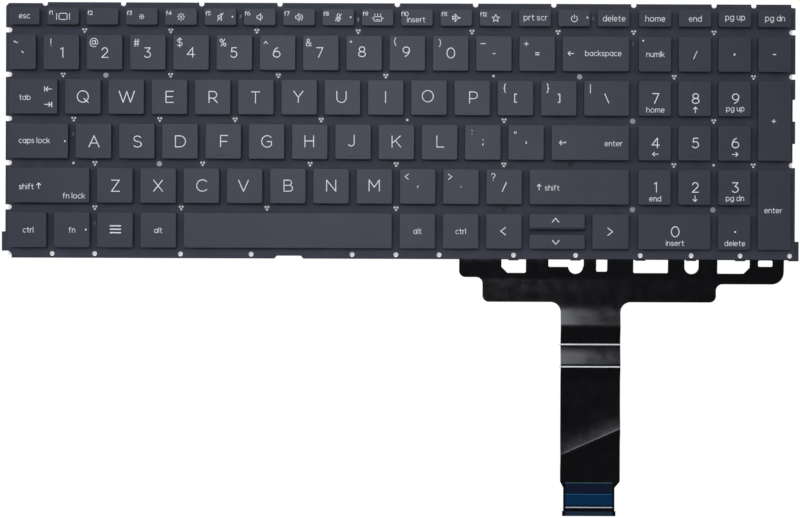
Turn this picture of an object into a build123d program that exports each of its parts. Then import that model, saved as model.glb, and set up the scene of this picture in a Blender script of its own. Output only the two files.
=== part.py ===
from build123d import *

import math
import os
from collections import namedtuple
from functools import lru_cache

# A laptop keyboard module, taken out of its laptop: a steel plate with bent-up hooks, three circuit
# films on top of it, rubber domes, scissor links and low keycaps, and a flat film tail that drops
# from the front edge to the table and ends in a stiffened plug-in end.
# Lengths are in millimetres. The origin is the centre of the plate's back face, +X runs along the
# rows towards the number pad, +Y towards the function row and +Z up through the keycaps.

# Key grid: a pitch is a cap and the gap beside it
KEY_PITCH = 18.7
KEY_GAP = 3.1
ROW_PITCH = 19.2
ROW_GAP = 3.9
FUNCTION_DEPTH = 7.3
FUNCTION_ROW_GAP = 4.1
FIRST_FUNCTION_TRIM = 0.65
PAD_PITCH = 17.25
PAD_COLUMNS = 4
BLOCK_GAP = 3.95
ARROW_GAP = 1.2

# Widths in key pitches of the keys in the main block that aren't one pitch wide
MAIN_UNITS = 14.508
UNITS = {
    "backquote": 0.79,
    "tab": 1.293,
    "caps_lock": 1.542,
    "left_shift": 2.039,
    "left_ctrl": 1.046,
    "space": 4.989,
    "up_arrow": 1.458,
}

# Keys by row, left to right
FUNCTION_ROW = ["esc"] + [f"f{number}" for number in range(1, 13)] + ["print_screen", "power", "delete"]
NUMBER_ROW = ["backquote"] + list("1234567890") + ["minus", "equals", "backspace"]
UPPER_ROW = ["tab"] + list("qwertyuiop") + ["left_bracket", "right_bracket", "backslash"]
HOME_ROW = ["caps_lock"] + list("asdfghjkl") + ["semicolon", "quote", "enter"]
LOWER_ROW = ["left_shift"] + list("zxcvbnm") + ["comma", "period", "slash", "right_shift"]
FRONT_ROW = [
    "left_ctrl", "fn", "system", "left_alt", "space", "right_alt", "right_ctrl",
    "left_arrow", "up_arrow", "right_arrow",
]
PAD_FUNCTION_ROW = ["home", "end", "page_up", "page_down"]
PAD_NUMBER_ROW = ["num_lock", "pad_divide", "pad_multiply", "pad_minus"]
PAD_UPPER_ROW = ["pad_7", "pad_8", "pad_9"]
PAD_HOME_ROW = ["pad_4", "pad_5", "pad_6"]
PAD_LOWER_ROW = ["pad_1", "pad_2", "pad_3"]

# Plate
PLATE_THICKNESS = 0.5
LEFT_MARGIN = 2.2
RIGHT_MARGIN = 2.75
FRONT_MARGIN = 4.55
BACK_MARGIN = 3.05
CORNER_CHAMFER = 1.8
CORNER_STEP_WIDTH = 1.9
CORNER_STEP_DEPTH = 1.5
BACK_STEP_DEPTH = 0.46
NOTCH_WIDTH = 2.2
BACK_NOTCH_DEPTH = 1.7
SIDE_NOTCH_DEPTH = 2.7
BACK_NOTCHES_AFTER = [
    "esc", "f2", "f4", "f6", "f9", "f11", "print_screen", "delete", "end", "page_up",
]
RIGHT_RECESS_DEPTH = 1.1
RIGHT_RECESS_LENGTH = 9.5
LEFT_FOOT_REACH = 1.5
LEFT_FOOT_LENGTH = 8.4
LEFT_FOOT_INSET = 3.0
LEFT_CORNER_CUT = 2.75
LEFT_CORNER_FILL = 1.3
RIGHT_FOOT_REACH = 1.7
RIGHT_FOOT_LENGTH = 8.5
RIGHT_FOOT_DROP = 0.4
FRONT_NOTCH_X = -48.3
FRONT_NOTCH_WIDTH = 12.6
FRONT_NOTCH_FLOOR = 10.4
FRONT_NOTCH_DEPTH = 1.3

# Fixing holes along the plate's front edge, measured from the plate's left edge
FRONT_HOLE_RADIUS = 1.05
FRONT_HOLE_INSET = 1.9
FRONT_HOLES = [20.3, 38.8, 76.1, 106.8, 150.7, 169.7, 188.5]
EAR_HOLES = [220.8, 247.8, 275.9, 298.0, 319.3]
LAST_FRONT_HOLE = 340.8
EAR_WIDTH = 4.4
EAR_REACH = 0.45

# Holes between the rows: a cluster of three small holes, a plain hole behind a clear spot of film,
# or a spot where only the films are cut. Each stands in the gap after the key that it names, a little
# behind the middle between the rows, and beside the number pad a little to the right.
CLUSTER_RADIUS = 0.72
CLUSTER_HOLE_RADIUS = 0.48
ROUND_HOLE_RADIUS = 1.1
FILM_HOLE_RADIUS = 1.35
SMALL_HOLE_RADIUS = 0.6
ROW_HOLE_SHIFT = 0.25
PAD_HOLE_SHIFT = 0.3
ROW_HOLES = {
    "function": [
        ("1", "cluster"), ("3", "cluster"), ("5", "cluster"), ("f8", "cluster"), ("0", "cluster"),
        ("equals", "cluster"), ("backspace", "cluster"), ("end", "cluster"),
    ],
    "number": [
        ("tab", "cluster"), ("q", "covered"), ("3", "cluster"), ("t", "cluster"), ("8", "cluster"),
        ("p", "small"), ("right_bracket", "covered"), ("num_lock", "cluster"),
        ("pad_multiply", "cluster"),
    ],
    "upper": [
        ("caps_lock", "cluster"), ("s", "cluster"), ("r", "cluster"), ("y", "cluster"), ("i", "small"),
        ("semicolon", "cluster"), ("enter", "covered"), ("pad_8", "cluster"),
    ],
    "home": [
        ("caps_lock", "small"), ("left_shift", "cluster"), ("s", "covered"), ("d", "cluster"),
        ("b", "cluster"), ("m", "cluster"), ("semicolon", "cluster"), ("pad_4", "cluster"),
        ("pad_5", "small"), ("pad_6", "cluster"),
    ],
    "lower": [
        ("left_shift", "cluster"), ("left_alt", "cluster"), ("v", "cluster"), ("m", "cluster"),
        ("enter", "covered"), ("pad_2", "covered"),
    ],
}

# Films
FILM_THICKNESS = 0.1
SPACER_THICKNESS = 0.15
FILM_INSET = 0.3
FRONT_FILM_HOLE_RADIUS = 1.25

# Key mechanism. Reaches are level distances from a link's pivot to the middle of its end bars.
TRAVEL = 1.5
LINK_BAR = 0.5
OUTER_REACH = 4.7
INNER_REACH = 3.9
LINK_SIDE_GAP = 0.2
EYE_RADIUS = 0.6
PIVOT_RADIUS = 0.25
PIVOT_CLEARANCE = 0.05
HOOK_SLACK = 0.05
HOOK_LIP = 0.25
HOOK_LEG = 0.4
LUG_WIDTH = 1.0
HOOK_WIDTH = 0.55
HOOK_SIDE_CLEARANCE = 0.1
PRESSED_CLEARANCE = 0.12
FILM_SLOT_CLEARANCE = 0.2
SLIM_BELOW = 10.0
TWIN_ABOVE = 30.0
LinkSize = namedtuple("LinkSize", "half_width arm_width")
FULL_LINKS = LinkSize(half_width=4.8, arm_width=0.9)
SLIM_LINKS = LinkSize(half_width=2.6, arm_width=0.4)

# Rubber dome
DOME_CLEARANCE = 0.1
DOME_WALL = 0.35
DOME_FLANGE_HEIGHT = 0.3
DOME_SHOULDER = 0.5
DOME_LEAN = 0.6
DOME_NECK_HEIGHT = 0.7

# Keycap
CAP_HEIGHT = 2.0
CAP_TOP_WALL = 0.8
CAP_SIDE_WALL = 0.7
CAP_DRAFT_DEGREES = 3.0
CAP_CORNER_RADIUS = 0.9
CAP_EDGE_RADIUS = 0.2
ARROW_SLOPE_RUN = 1.0
ARROW_SLOPE_DROP = 1.2

# Raised bars that a finger finds, each on its cap's top near the front edge
HOMING_KEYS = ["f", "j", "pad_5"]
HOMING_BAR_LENGTH = 4.4
HOMING_BAR_WIDTH = 0.55
HOMING_BAR_HEIGHT = 0.3
HOMING_BAR_ROUND = 0.12
HOMING_BAR_INSET = 1.8

# Indicator lights on the upper film, each in the gap beside a key and offset from its row's middle
LED_WIDTH = 0.9
LED_LENGTH = 1.6
LED_HEIGHT = 0.35
LED_SPOTS = [
    ("f5", 0.6), ("f8", -0.5), ("power", 0.3), ("backspace", 4.7), ("caps_lock", 3.2), ("fn", 3.0),
]

# Film tail: places along X from the ribbon's middle, reaches from the plate's front edge
RIBBON_FROM_RIGHT = 88.6
RIBBON_WIDTH = 26.0
TAIL_ROOT = 3.2
TAIL_ROOT_CLEARANCE = 0.1
FLANGE_LEFT = 57.2
FLANGE_LEFT_STEP = 47.0
FLANGE_LEFT_STEP_REACH = 7.75
FLANGE_REACH = 18.45
FLANGE_RIGHT_STEP = 54.5
FLANGE_RIGHT = 83.9
FLANGE_RIGHT_REACH = 10.5
FLANGE_RADIUS = 2.8
FLANGE_RIGHT_RADIUS = 5.2
RIBBON_RADIUS = 4.4
NECK_START = 96.4
NECK_REACH = 99.2
NECK_WIDTH = 22.3
NECK_OFFSET = -0.45
END_EAR_WIDTH = 23.2
END_EAR_LENGTH = 2.2
TAIL_REACH = 111.45
WINDOW_RADIUS = 0.6

# Windows in the tail's flange: left and right places and reach. The first and the sixth have one
# lower corner cut, and the fifth has a round lower end.
WINDOWS = {
    "first": (-38.8, -28.2, 5.8),
    "second": (-18.4, -3.1, 3.15),
    "third": (2.4, 7.1, 5.15),
    "fourth": (18.5, 33.5, 5.7),
    "fifth": (40.7, 46.8, 6.05),
    "sixth": (55.0, 69.0, 5.85),
}
WINDOW_CORNER_CUT = 2.6
ROUND_WINDOW_RADIUS = 3.0
LOBE_PLACE = -6.6
LOBE_REACH = 6.15
LOBE_RADIUS = 3.2
SLOT_WINDOW = (72.7, 78.9)
SLOT_WINDOW_REACHES = (0.1, 2.8)

# Waves of the tail: crests as reach, height over the table and radius of the hollow behind. Two run
# straight across, and one lies aslant beyond the place where the slant starts, with its reach at the
# ribbon's middle. A wave rises gently from the valley behind it and drops steeply in front.
TAIL_DROP_START = 0.8
TAIL_DROP_END = 8.0
STRAIGHT_CRESTS = [(29.6, 1.1, 45.0), (46.7, 1.1, 34.0)]
SLANTED_CRESTS = [(80.6, 1.1, 90.0)]
SLANT_START = 57.0
SLANT_DEGREES = 24.0
WAVE_RISE_LENGTH = 8.0
WAVE_DROP_LENGTH = 5.0
TAIL_DROP_RADIUS = 18.0
CREST_RADIUS = 8.0
DROP_RADIUS = 12.0

# Stiffener on the tail's end
STIFFENER_THICKNESS = 0.2
STIFFENER_WIDTH = 21.4
STIFFENER_START = 96.9

# Sizes that follow from the ones above
CAP_WIDTH = KEY_PITCH - KEY_GAP
CAP_DEPTH = ROW_PITCH - ROW_GAP
MAIN_WIDTH = MAIN_UNITS * KEY_PITCH - KEY_GAP
PAD_WIDTH = PAD_COLUMNS * PAD_PITCH - KEY_GAP
PLATE_LENGTH = LEFT_MARGIN + MAIN_WIDTH + BLOCK_GAP + PAD_WIDTH + RIGHT_MARGIN
PLATE_DEPTH = (
    FRONT_MARGIN + 4 * ROW_PITCH + CAP_DEPTH + FUNCTION_ROW_GAP + FUNCTION_DEPTH + BACK_MARGIN
)
LEFT_EDGE = -PLATE_LENGTH / 2
RIGHT_EDGE = PLATE_LENGTH / 2
FRONT_EDGE = -PLATE_DEPTH / 2
BACK_EDGE = PLATE_DEPTH / 2
MAIN_LEFT = LEFT_EDGE + LEFT_MARGIN
MAIN_RIGHT = MAIN_LEFT + MAIN_WIDTH
PAD_LEFT = MAIN_RIGHT + BLOCK_GAP
FRONT_ROW_Y = FRONT_EDGE + FRONT_MARGIN + CAP_DEPTH / 2
LOWER_ROW_Y = FRONT_ROW_Y + ROW_PITCH
HOME_ROW_Y = LOWER_ROW_Y + ROW_PITCH
UPPER_ROW_Y = HOME_ROW_Y + ROW_PITCH
NUMBER_ROW_Y = UPPER_ROW_Y + ROW_PITCH
FUNCTION_ROW_Y = NUMBER_ROW_Y + CAP_DEPTH / 2 + FUNCTION_ROW_GAP + FUNCTION_DEPTH / 2
GAP_Y = {
    "function": NUMBER_ROW_Y + CAP_DEPTH / 2 + FUNCTION_ROW_GAP / 2 + ROW_HOLE_SHIFT,
    "number": NUMBER_ROW_Y - ROW_PITCH / 2 + ROW_HOLE_SHIFT,
    "upper": UPPER_ROW_Y - ROW_PITCH / 2 + ROW_HOLE_SHIFT,
    "home": HOME_ROW_Y - ROW_PITCH / 2 + ROW_HOLE_SHIFT,
    "lower": LOWER_ROW_Y - ROW_PITCH / 2 + ROW_HOLE_SHIFT,
}
LOWER_FILM_TOP = PLATE_THICKNESS + FILM_THICKNESS
SPACER_TOP = LOWER_FILM_TOP + SPACER_THICKNESS
FILM_TOP = SPACER_TOP + FILM_THICKNESS
OUTER_ANGLE = math.degrees(math.atan2(TRAVEL / 2, OUTER_REACH))
INNER_ANGLE = math.degrees(math.atan2(TRAVEL / 2, INNER_REACH))
BAR_REST_HALF = LINK_BAR / 2 * (
    math.cos(math.radians(INNER_ANGLE)) + math.sin(math.radians(INNER_ANGLE))
)
LOW_BAR_Z = FILM_TOP + PRESSED_CLEARANCE + HOOK_LIP + HOOK_SLACK + BAR_REST_HALF
HIGH_BAR_Z = LOW_BAR_Z + TRAVEL
LUG_LIP_Z = LOW_BAR_Z + BAR_REST_HALF + HOOK_SLACK
LUG_TOP = LUG_LIP_Z + HOOK_LIP
CAP_UNDERSIDE = LUG_TOP + PRESSED_CLEARANCE + TRAVEL
CAP_TOP = CAP_UNDERSIDE + CAP_TOP_WALL
SKIRT_BOTTOM = CAP_TOP - CAP_HEIGHT
HOOK_LIP_TOP = HIGH_BAR_Z - BAR_REST_HALF - HOOK_SLACK
HOOK_BOTTOM = HOOK_LIP_TOP - HOOK_LIP
RIBBON_X = RIGHT_EDGE - RIBBON_FROM_RIGHT

Key = namedtuple("Key", "name x y width depth")


# Key layout

def key_between(name, left, right, y, depth):
    return Key(name, (left + right) / 2, y, right - left, depth)


def main_row(names, y):
    """Keys of one row of the main block; the last one fills the row up to the block's edge."""
    keys = []
    left = MAIN_LEFT
    for name in names[:-1]:
        right = left + UNITS.get(name, 1.0) * KEY_PITCH - KEY_GAP
        keys.append(key_between(name, left, right, y, CAP_DEPTH))
        left = right + KEY_GAP
    keys.append(key_between(names[-1], left, MAIN_RIGHT, y, CAP_DEPTH))
    return keys


def split_arrows(keys):
    """The front row with its up arrow key split into an up and a down key of half the depth."""
    half_depth = (CAP_DEPTH - ARROW_GAP) / 2
    offset_y = (half_depth + ARROW_GAP) / 2
    result = []
    for key in keys:
        if key.name == "up_arrow":
            result.append(key._replace(y=key.y + offset_y, depth=half_depth))
            result.append(key._replace(name="down_arrow", y=key.y - offset_y, depth=half_depth))
        else:
            result.append(key)
    return result


def function_row():
    """Keys of the function row. The first one is a little narrower than the rest."""
    pitch = (MAIN_WIDTH + KEY_GAP + FIRST_FUNCTION_TRIM) / len(FUNCTION_ROW)
    keys = []
    left = MAIN_LEFT
    for name in FUNCTION_ROW:
        right = left + pitch - KEY_GAP - (FIRST_FUNCTION_TRIM if left == MAIN_LEFT else 0)
        keys.append(key_between(name, left, right, FUNCTION_ROW_Y, FUNCTION_DEPTH))
        left = right + KEY_GAP
    return keys


def pad_key(name, column, y, depth, columns=1):
    left = PAD_LEFT + column * PAD_PITCH
    return key_between(name, left, left + columns * PAD_PITCH - KEY_GAP, y, depth)


def pad_row(names, y, depth=CAP_DEPTH):
    return [pad_key(name, column, y, depth) for column, name in enumerate(names)]


def number_pad():
    tall_depth = ROW_PITCH + CAP_DEPTH
    last_column = PAD_COLUMNS - 1
    keys = pad_row(PAD_FUNCTION_ROW, FUNCTION_ROW_Y, FUNCTION_DEPTH)
    keys += pad_row(PAD_NUMBER_ROW, NUMBER_ROW_Y)
    keys += pad_row(PAD_UPPER_ROW, UPPER_ROW_Y)
    keys += pad_row(PAD_HOME_ROW, HOME_ROW_Y)
    keys += pad_row(PAD_LOWER_ROW, LOWER_ROW_Y)
    keys.append(pad_key("pad_plus", last_column, (UPPER_ROW_Y + HOME_ROW_Y) / 2, tall_depth))
    keys.append(pad_key("pad_enter", last_column, (LOWER_ROW_Y + FRONT_ROW_Y) / 2, tall_depth))
    keys.append(pad_key("pad_0", 0, FRONT_ROW_Y, CAP_DEPTH, columns=2))
    keys.append(pad_key("pad_decimal", 2, FRONT_ROW_Y, CAP_DEPTH))
    return keys


TYPING_KEYS = (
    main_row(UPPER_ROW, UPPER_ROW_Y)
    + main_row(HOME_ROW, HOME_ROW_Y)
    + main_row(LOWER_ROW, LOWER_ROW_Y)
    + split_arrows(main_row(FRONT_ROW, FRONT_ROW_Y))
)
OUTLYING_KEYS = function_row() + main_row(NUMBER_ROW, NUMBER_ROW_Y) + number_pad()
ALL_KEYS = TYPING_KEYS + OUTLYING_KEYS
KEY_BY_NAME = {key.name: key for key in ALL_KEYS}


def gap_after(name):
    """The middle of the gap to the right of a key, which is wider at the edge of the main block."""
    key = KEY_BY_NAME[name]
    right = key.x + key.width / 2
    gap = BLOCK_GAP if math.isclose(right, MAIN_RIGHT, abs_tol=0.01) else KEY_GAP
    return right + gap / 2


def hole_place_after(name):
    """Where the holes and notches in the gap to the right of a key stand."""
    middle = gap_after(name)
    return middle + PAD_HOLE_SHIFT if middle > MAIN_RIGHT else middle


# Link pairs under the keys

def is_slim(key):
    return key.depth < SLIM_BELOW


def link_size(key):
    return SLIM_LINKS if is_slim(key) else FULL_LINKS


def link_opening(size):
    """Half the clear width inside the inner link."""
    return inner_half_width(size) - size.arm_width


def inner_half_width(size):
    return size.half_width - size.arm_width - LINK_SIDE_GAP


def link_places(key):
    """Where a key's link pairs stand: one at its middle, or two at the quarters of a long key."""
    if key.width > TWIN_ABOVE:
        spots = [(key.x - key.width / 4, key.y), (key.x + key.width / 4, key.y)]
    elif key.depth > TWIN_ABOVE:
        spots = [(key.x, key.y - key.depth / 4), (key.x, key.y + key.depth / 4)]
    else:
        spots = [(key.x, key.y)]
    turn = -90 if is_slim(key) else 0
    return [Pos(x, y, 0) * Rot(0, 0, turn) for x, y in spots]


def hook(reach, leg_side, root_z, tip_z, lip_low_z, lip_high_z, half_width, offset_x=0.0):
    """An L-shaped hook that holds a bar at the reach, with its leg on one side of the bar."""
    leg_near = reach + leg_side * (BAR_REST_HALF + HOOK_SLACK)
    leg_far = leg_near + leg_side * HOOK_LEG
    lip_end = reach - leg_side * BAR_REST_HALF
    leg_low, leg_high = sorted([root_z, tip_z])
    leg = Pos((leg_near + leg_far) / 2, (leg_low + leg_high) / 2) * Rectangle(HOOK_LEG, leg_high - leg_low)
    lip = Pos((lip_end + leg_far) / 2, (lip_low_z + lip_high_z) / 2) * Rectangle(
        abs(leg_far - lip_end), lip_high_z - lip_low_z
    )
    return Pos(offset_x, 0, 0) * extrude(Plane.YZ * (leg + lip), half_width, both=True)


@lru_cache
def plate_lugs():
    """The two hooks that one link pair has on the plate, around the pair's own middle."""
    return [
        hook(reach, -1, PLATE_THICKNESS, LUG_TOP, LUG_LIP_Z, LUG_TOP, LUG_WIDTH / 2)
        for reach in (-OUTER_REACH, INNER_REACH)
    ]


@lru_cache
def cap_hooks(size):
    """The four hooks that one link pair has under its keycap, around the pair's own middle."""
    offset_x = link_opening(size) - HOOK_SIDE_CLEARANCE - HOOK_WIDTH / 2
    return [
        hook(reach, 1, CAP_UNDERSIDE, HOOK_BOTTOM, HOOK_BOTTOM, HOOK_LIP_TOP, HOOK_WIDTH / 2, side * offset_x)
        for reach in (OUTER_REACH, -INNER_REACH)
        for side in (-1, 1)
    ]


def lug_slots():
    """The cuts in a film that let one link pair's plate hooks through, as two rectangles."""
    length = HOOK_LEG + HOOK_SLACK + 2 * BAR_REST_HALF
    middle = (HOOK_LEG + HOOK_SLACK) / 2
    return [
        Pos(0, reach - middle)
        * Rectangle(LUG_WIDTH + 2 * FILM_SLOT_CLEARANCE, length + 2 * FILM_SLOT_CLEARANCE)
        for reach in (-OUTER_REACH, INNER_REACH)
    ]


@lru_cache
def link_ring(half_width, arm_width, reach):
    """One scissor link lying level at the origin: two arms joined by a bar at each end."""
    half_length = math.hypot(reach, TRAVEL / 2)
    outline = Rectangle(2 * half_width, 2 * half_length + LINK_BAR)
    opening = Rectangle(2 * (half_width - arm_width), 2 * half_length - LINK_BAR)
    return extrude(outline - opening, LINK_BAR / 2, both=True)


def cross_pin(radius, from_x, to_x):
    """A round bar along X between two places, and its mirror image."""
    length = to_x - from_x
    bar = Rot(0, 90, 0) * Cylinder(radius, length)
    middle = (from_x + to_x) / 2
    return [Pos(middle, 0, 0) * bar, Pos(-middle, 0, 0) * bar]


@lru_cache
def link_pair(size):
    """An outer link with pivot eyes and an inner link with pivot pins, crossed at rest."""
    inner_half = inner_half_width(size)
    outer = link_ring(size.half_width, size.arm_width, OUTER_REACH)
    outer += cross_pin(EYE_RADIUS, size.half_width - size.arm_width, size.half_width)
    outer -= cross_pin(PIVOT_RADIUS + PIVOT_CLEARANCE, inner_half, size.half_width + LINK_SIDE_GAP)
    inner = link_ring(inner_half, size.arm_width, INNER_REACH)
    inner += cross_pin(PIVOT_RADIUS, inner_half - size.arm_width / 2, size.half_width)
    pivot_z = (LOW_BAR_Z + HIGH_BAR_Z) / 2
    return [
        Pos(0, 0, pivot_z) * Rot(OUTER_ANGLE, 0, 0) * outer,
        Pos(0, 0, pivot_z) * Rot(-INNER_ANGLE, 0, 0) * inner,
    ]


# Keycaps and domes

@lru_cache
def cap_shell(width, depth):
    """A hollow cap with drafted walls and a rounded top edge, around its own middle."""
    outline = RectangleRounded(width, depth, CAP_CORNER_RADIUS)
    body = Pos(0, 0, SKIRT_BOTTOM) * extrude(outline, CAP_HEIGHT, taper=CAP_DRAFT_DEGREES)
    body = fillet(body.faces().sort_by(Axis.Z)[-1].edges(), CAP_EDGE_RADIUS)
    hollow = Box(
        width - 2 * CAP_SIDE_WALL,
        depth - 2 * CAP_SIDE_WALL,
        CAP_UNDERSIDE - SKIRT_BOTTOM,
        align=(Align.CENTER, Align.CENTER, Align.MIN),
    )
    return body - Pos(0, 0, SKIRT_BOTTOM) * hollow


def arrow_slope(key, side):
    """The wedge that comes off the edge where the up and the down arrow face each other."""
    edge_y = side * key.depth / 2
    section = Polygon(
        (edge_y, CAP_TOP - ARROW_SLOPE_DROP),
        (edge_y, CAP_TOP),
        (edge_y - side * ARROW_SLOPE_RUN, CAP_TOP),
        align=None,
    )
    return extrude(Plane.YZ * section, key.width, both=True)


def homing_bar(key):
    outline = Pos(0, HOMING_BAR_INSET - key.depth / 2) * SlotOverall(HOMING_BAR_LENGTH, HOMING_BAR_WIDTH)
    bar = Pos(0, 0, CAP_TOP) * extrude(outline, HOMING_BAR_HEIGHT)
    return fillet(bar.faces().sort_by(Axis.Z)[-1].edges(), HOMING_BAR_ROUND)


def keycap(key):
    """A cap in its place, with the hooks that hold its links."""
    cap = cap_shell(key.width, key.depth)
    if key.name == "up_arrow":
        cap = cap - arrow_slope(key, -1)
    if key.name == "down_arrow":
        cap = cap - arrow_slope(key, 1)
    if key.name in HOMING_KEYS:
        cap = cap + homing_bar(key)
    cap = Pos(key.x, key.y, 0) * cap
    for place in link_places(key):
        cap = cap + [place * shape for shape in cap_hooks(link_size(key))]
    return cap


@lru_cache
def dome(size):
    """A hollow rubber dome that stands on the films and carries the cap's underside."""
    flange_radius = link_opening(size) - DOME_CLEARANCE
    base_radius = flange_radius - DOME_WALL
    neck_radius = base_radius - DOME_LEAN
    flange_top = FILM_TOP + DOME_FLANGE_HEIGHT
    shoulder = CAP_UNDERSIDE - DOME_NECK_HEIGHT
    section = Polyline(
        (base_radius - DOME_WALL, FILM_TOP),
        (flange_radius, FILM_TOP),
        (flange_radius, flange_top),
        (base_radius, flange_top),
        (neck_radius, shoulder),
        (neck_radius, CAP_UNDERSIDE),
        (0, CAP_UNDERSIDE),
        (0, shoulder - DOME_SHOULDER),
        (neck_radius - DOME_WALL, shoulder - DOME_SHOULDER),
        close=True,
    )
    return revolve(make_face(Plane.XZ * section), Axis.Z)


# Plate and films

def notch(width, depth):
    """A round-ended notch that reaches down from the origin."""
    straight = depth - width / 2
    return Pos(0, -straight / 2) * Rectangle(width, straight) + Pos(0, -straight) * Circle(width / 2)


def edge_notches(inset):
    """The notches of all edges, widened where a film keeps clear of the plate's own edge."""
    width = NOTCH_WIDTH + 2 * inset
    back = notch(width, BACK_NOTCH_DEPTH + inset)
    side = notch(width, SIDE_NOTCH_DEPTH + inset)
    shapes = [Pos(hole_place_after(name), BACK_EDGE) * back for name in BACK_NOTCHES_AFTER]
    shapes += [Pos(LEFT_EDGE, y) * Rot(0, 0, 90) * side for y in GAP_Y.values()]
    shapes += [
        Pos(RIGHT_EDGE, GAP_Y[gap]) * Rot(0, 0, -90) * side for gap in ("function", "number", "home")
    ]
    return shapes


def edge_cuts(inset):
    """The wider cuts: steps at the back, two recesses, the front left corner and the front notch."""
    recess = Rectangle(2 * (RIGHT_RECESS_DEPTH + inset), RIGHT_RECESS_LENGTH + 2 * inset)
    step = Rectangle(2 * (CORNER_STEP_WIDTH + inset), 2 * (CORNER_STEP_DEPTH + inset))
    back_step = Rectangle(2 * (hole_place_after("esc") - LEFT_EDGE), 2 * (BACK_STEP_DEPTH + inset))
    corner = Rectangle(2 * (LEFT_CORNER_CUT + inset), 2 * (LEFT_FOOT_INSET + inset))
    corner = chamfer(corner.vertices().group_by(Axis.Y)[-1].sort_by(Axis.X)[-1], LEFT_CORNER_FILL)
    front_notch = Polygon(
        (-FRONT_NOTCH_WIDTH / 2 - inset, 0),
        (FRONT_NOTCH_WIDTH / 2 + inset, 0),
        (FRONT_NOTCH_FLOOR / 2 + inset, FRONT_NOTCH_DEPTH + inset),
        (-FRONT_NOTCH_FLOOR / 2 - inset, FRONT_NOTCH_DEPTH + inset),
        align=None,
    )
    return [
        Pos(RIGHT_EDGE, UPPER_ROW_Y - RIGHT_RECESS_LENGTH / 2) * recess,
        Pos(RIGHT_EDGE, HOME_ROW_Y - RIGHT_RECESS_LENGTH / 2) * recess,
        Pos(RIGHT_EDGE, BACK_EDGE) * step,
        Pos(LEFT_EDGE, BACK_EDGE) * back_step,
        Pos(LEFT_EDGE, FRONT_EDGE) * corner,
        Pos(FRONT_NOTCH_X, FRONT_EDGE) * front_notch,
    ]


def sheet_outline(inset=0.0):
    """The plate's outline without its feet and ears, or a film's, which keeps back from it."""
    sheet = Rectangle(PLATE_LENGTH - 2 * inset, PLATE_DEPTH - 2 * inset)
    sheet = chamfer(sheet.vertices().group_by(Axis.Y)[-1].sort_by(Axis.X)[0], CORNER_CHAMFER)
    return sheet - edge_cuts(inset) - edge_notches(inset)


def plate_feet():
    """The tongues that stand out of the plate at its front corners and under five front holes."""
    left = Rectangle(LEFT_FOOT_REACH + LEFT_CORNER_CUT, LEFT_FOOT_LENGTH, align=(Align.MIN, Align.MIN))
    right = Rectangle(
        RIGHT_FOOT_REACH + RIGHT_MARGIN, RIGHT_FOOT_LENGTH, align=(Align.MAX, Align.MIN)
    )
    ear = Rectangle(EAR_WIDTH, EAR_REACH + FRONT_HOLE_INSET, align=(Align.CENTER, Align.MIN))
    shapes = [
        Pos(LEFT_EDGE - LEFT_FOOT_REACH, FRONT_EDGE + LEFT_FOOT_INSET) * left,
        Pos(RIGHT_EDGE + RIGHT_FOOT_REACH, FRONT_EDGE - RIGHT_FOOT_DROP) * right,
    ]
    shapes += [Pos(LEFT_EDGE + x, FRONT_EDGE - EAR_REACH) * ear for x in EAR_HOLES]
    return shapes


def front_hole_places():
    return [
        Pos(LEFT_EDGE + x, FRONT_EDGE + FRONT_HOLE_INSET)
        for x in FRONT_HOLES + EAR_HOLES + [LAST_FRONT_HOLE]
    ]


def row_hole_places(*kinds):
    return [
        Pos(hole_place_after(name), GAP_Y[gap])
        for gap, holes in ROW_HOLES.items()
        for name, kind in holes
        if kind in kinds
    ]


def hole_cluster():
    return [
        Pos(CLUSTER_RADIUS * math.cos(angle), CLUSTER_RADIUS * math.sin(angle)) * Circle(CLUSTER_HOLE_RADIUS)
        for angle in (math.radians(degrees) for degrees in (30, 150, 270))
    ]


def base_plate():
    sheet = sheet_outline() + plate_feet()
    holes = [place * Circle(FRONT_HOLE_RADIUS) for place in front_hole_places()]
    holes += [place * Circle(ROUND_HOLE_RADIUS) for place in row_hole_places("covered")]
    holes += [place * Circle(SMALL_HOLE_RADIUS) for place in row_hole_places("small")]
    holes += [place * hole for place in row_hole_places("cluster") for hole in hole_cluster()]
    plate = extrude(sheet - holes, PLATE_THICKNESS)
    lugs = [place * lug for key in ALL_KEYS for place in link_places(key) for lug in plate_lugs()]
    return plate + lugs


def film_cuts():
    """What every film leaves open: the plate hooks, the front holes and the holes between rows."""
    cuts = [place * slot for key in ALL_KEYS for place in link_places(key) for slot in lug_slots()]
    cuts += front_film_holes()
    cuts += [place * Circle(FILM_HOLE_RADIUS) for place in row_hole_places("cluster")]
    cuts += [place * Circle(SMALL_HOLE_RADIUS) for place in row_hole_places("small")]
    return cuts


def front_film_holes():
    return [place * Circle(FRONT_FILM_HOLE_RADIUS) for place in front_hole_places()]


def film_sheet():
    return sheet_outline(FILM_INSET) - film_cuts()


def tail_root_area(margin):
    """Where the tail is bonded in between the upper and the lower film."""
    left = RIBBON_X - FLANGE_LEFT - margin
    right = RIBBON_X + FLANGE_RIGHT + margin
    back = FRONT_EDGE + TAIL_ROOT + margin
    return Pos((left + right) / 2, (FRONT_EDGE + back) / 2) * Rectangle(right - left, back - FRONT_EDGE)


def domes():
    return [Pos(key.x, key.y, 0) * dome(link_size(key)) for key in ALL_KEYS]


def links():
    return [
        place * link
        for key in ALL_KEYS
        for place in link_places(key)
        for link in link_pair(link_size(key))
    ]


def indicator_leds():
    chip = Box(LED_WIDTH, LED_LENGTH, LED_HEIGHT, align=(Align.CENTER, Align.CENTER, Align.MIN))
    return [
        Pos(gap_after(name), KEY_BY_NAME[name].y + offset_y, FILM_TOP) * chip for name, offset_y in LED_SPOTS
    ]


# Film tail

def tail_point(place, reach):
    """A point of the tail's plan, from its place beside the ribbon's middle and its reach."""
    return (RIBBON_X + place, FRONT_EDGE - reach)


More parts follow.
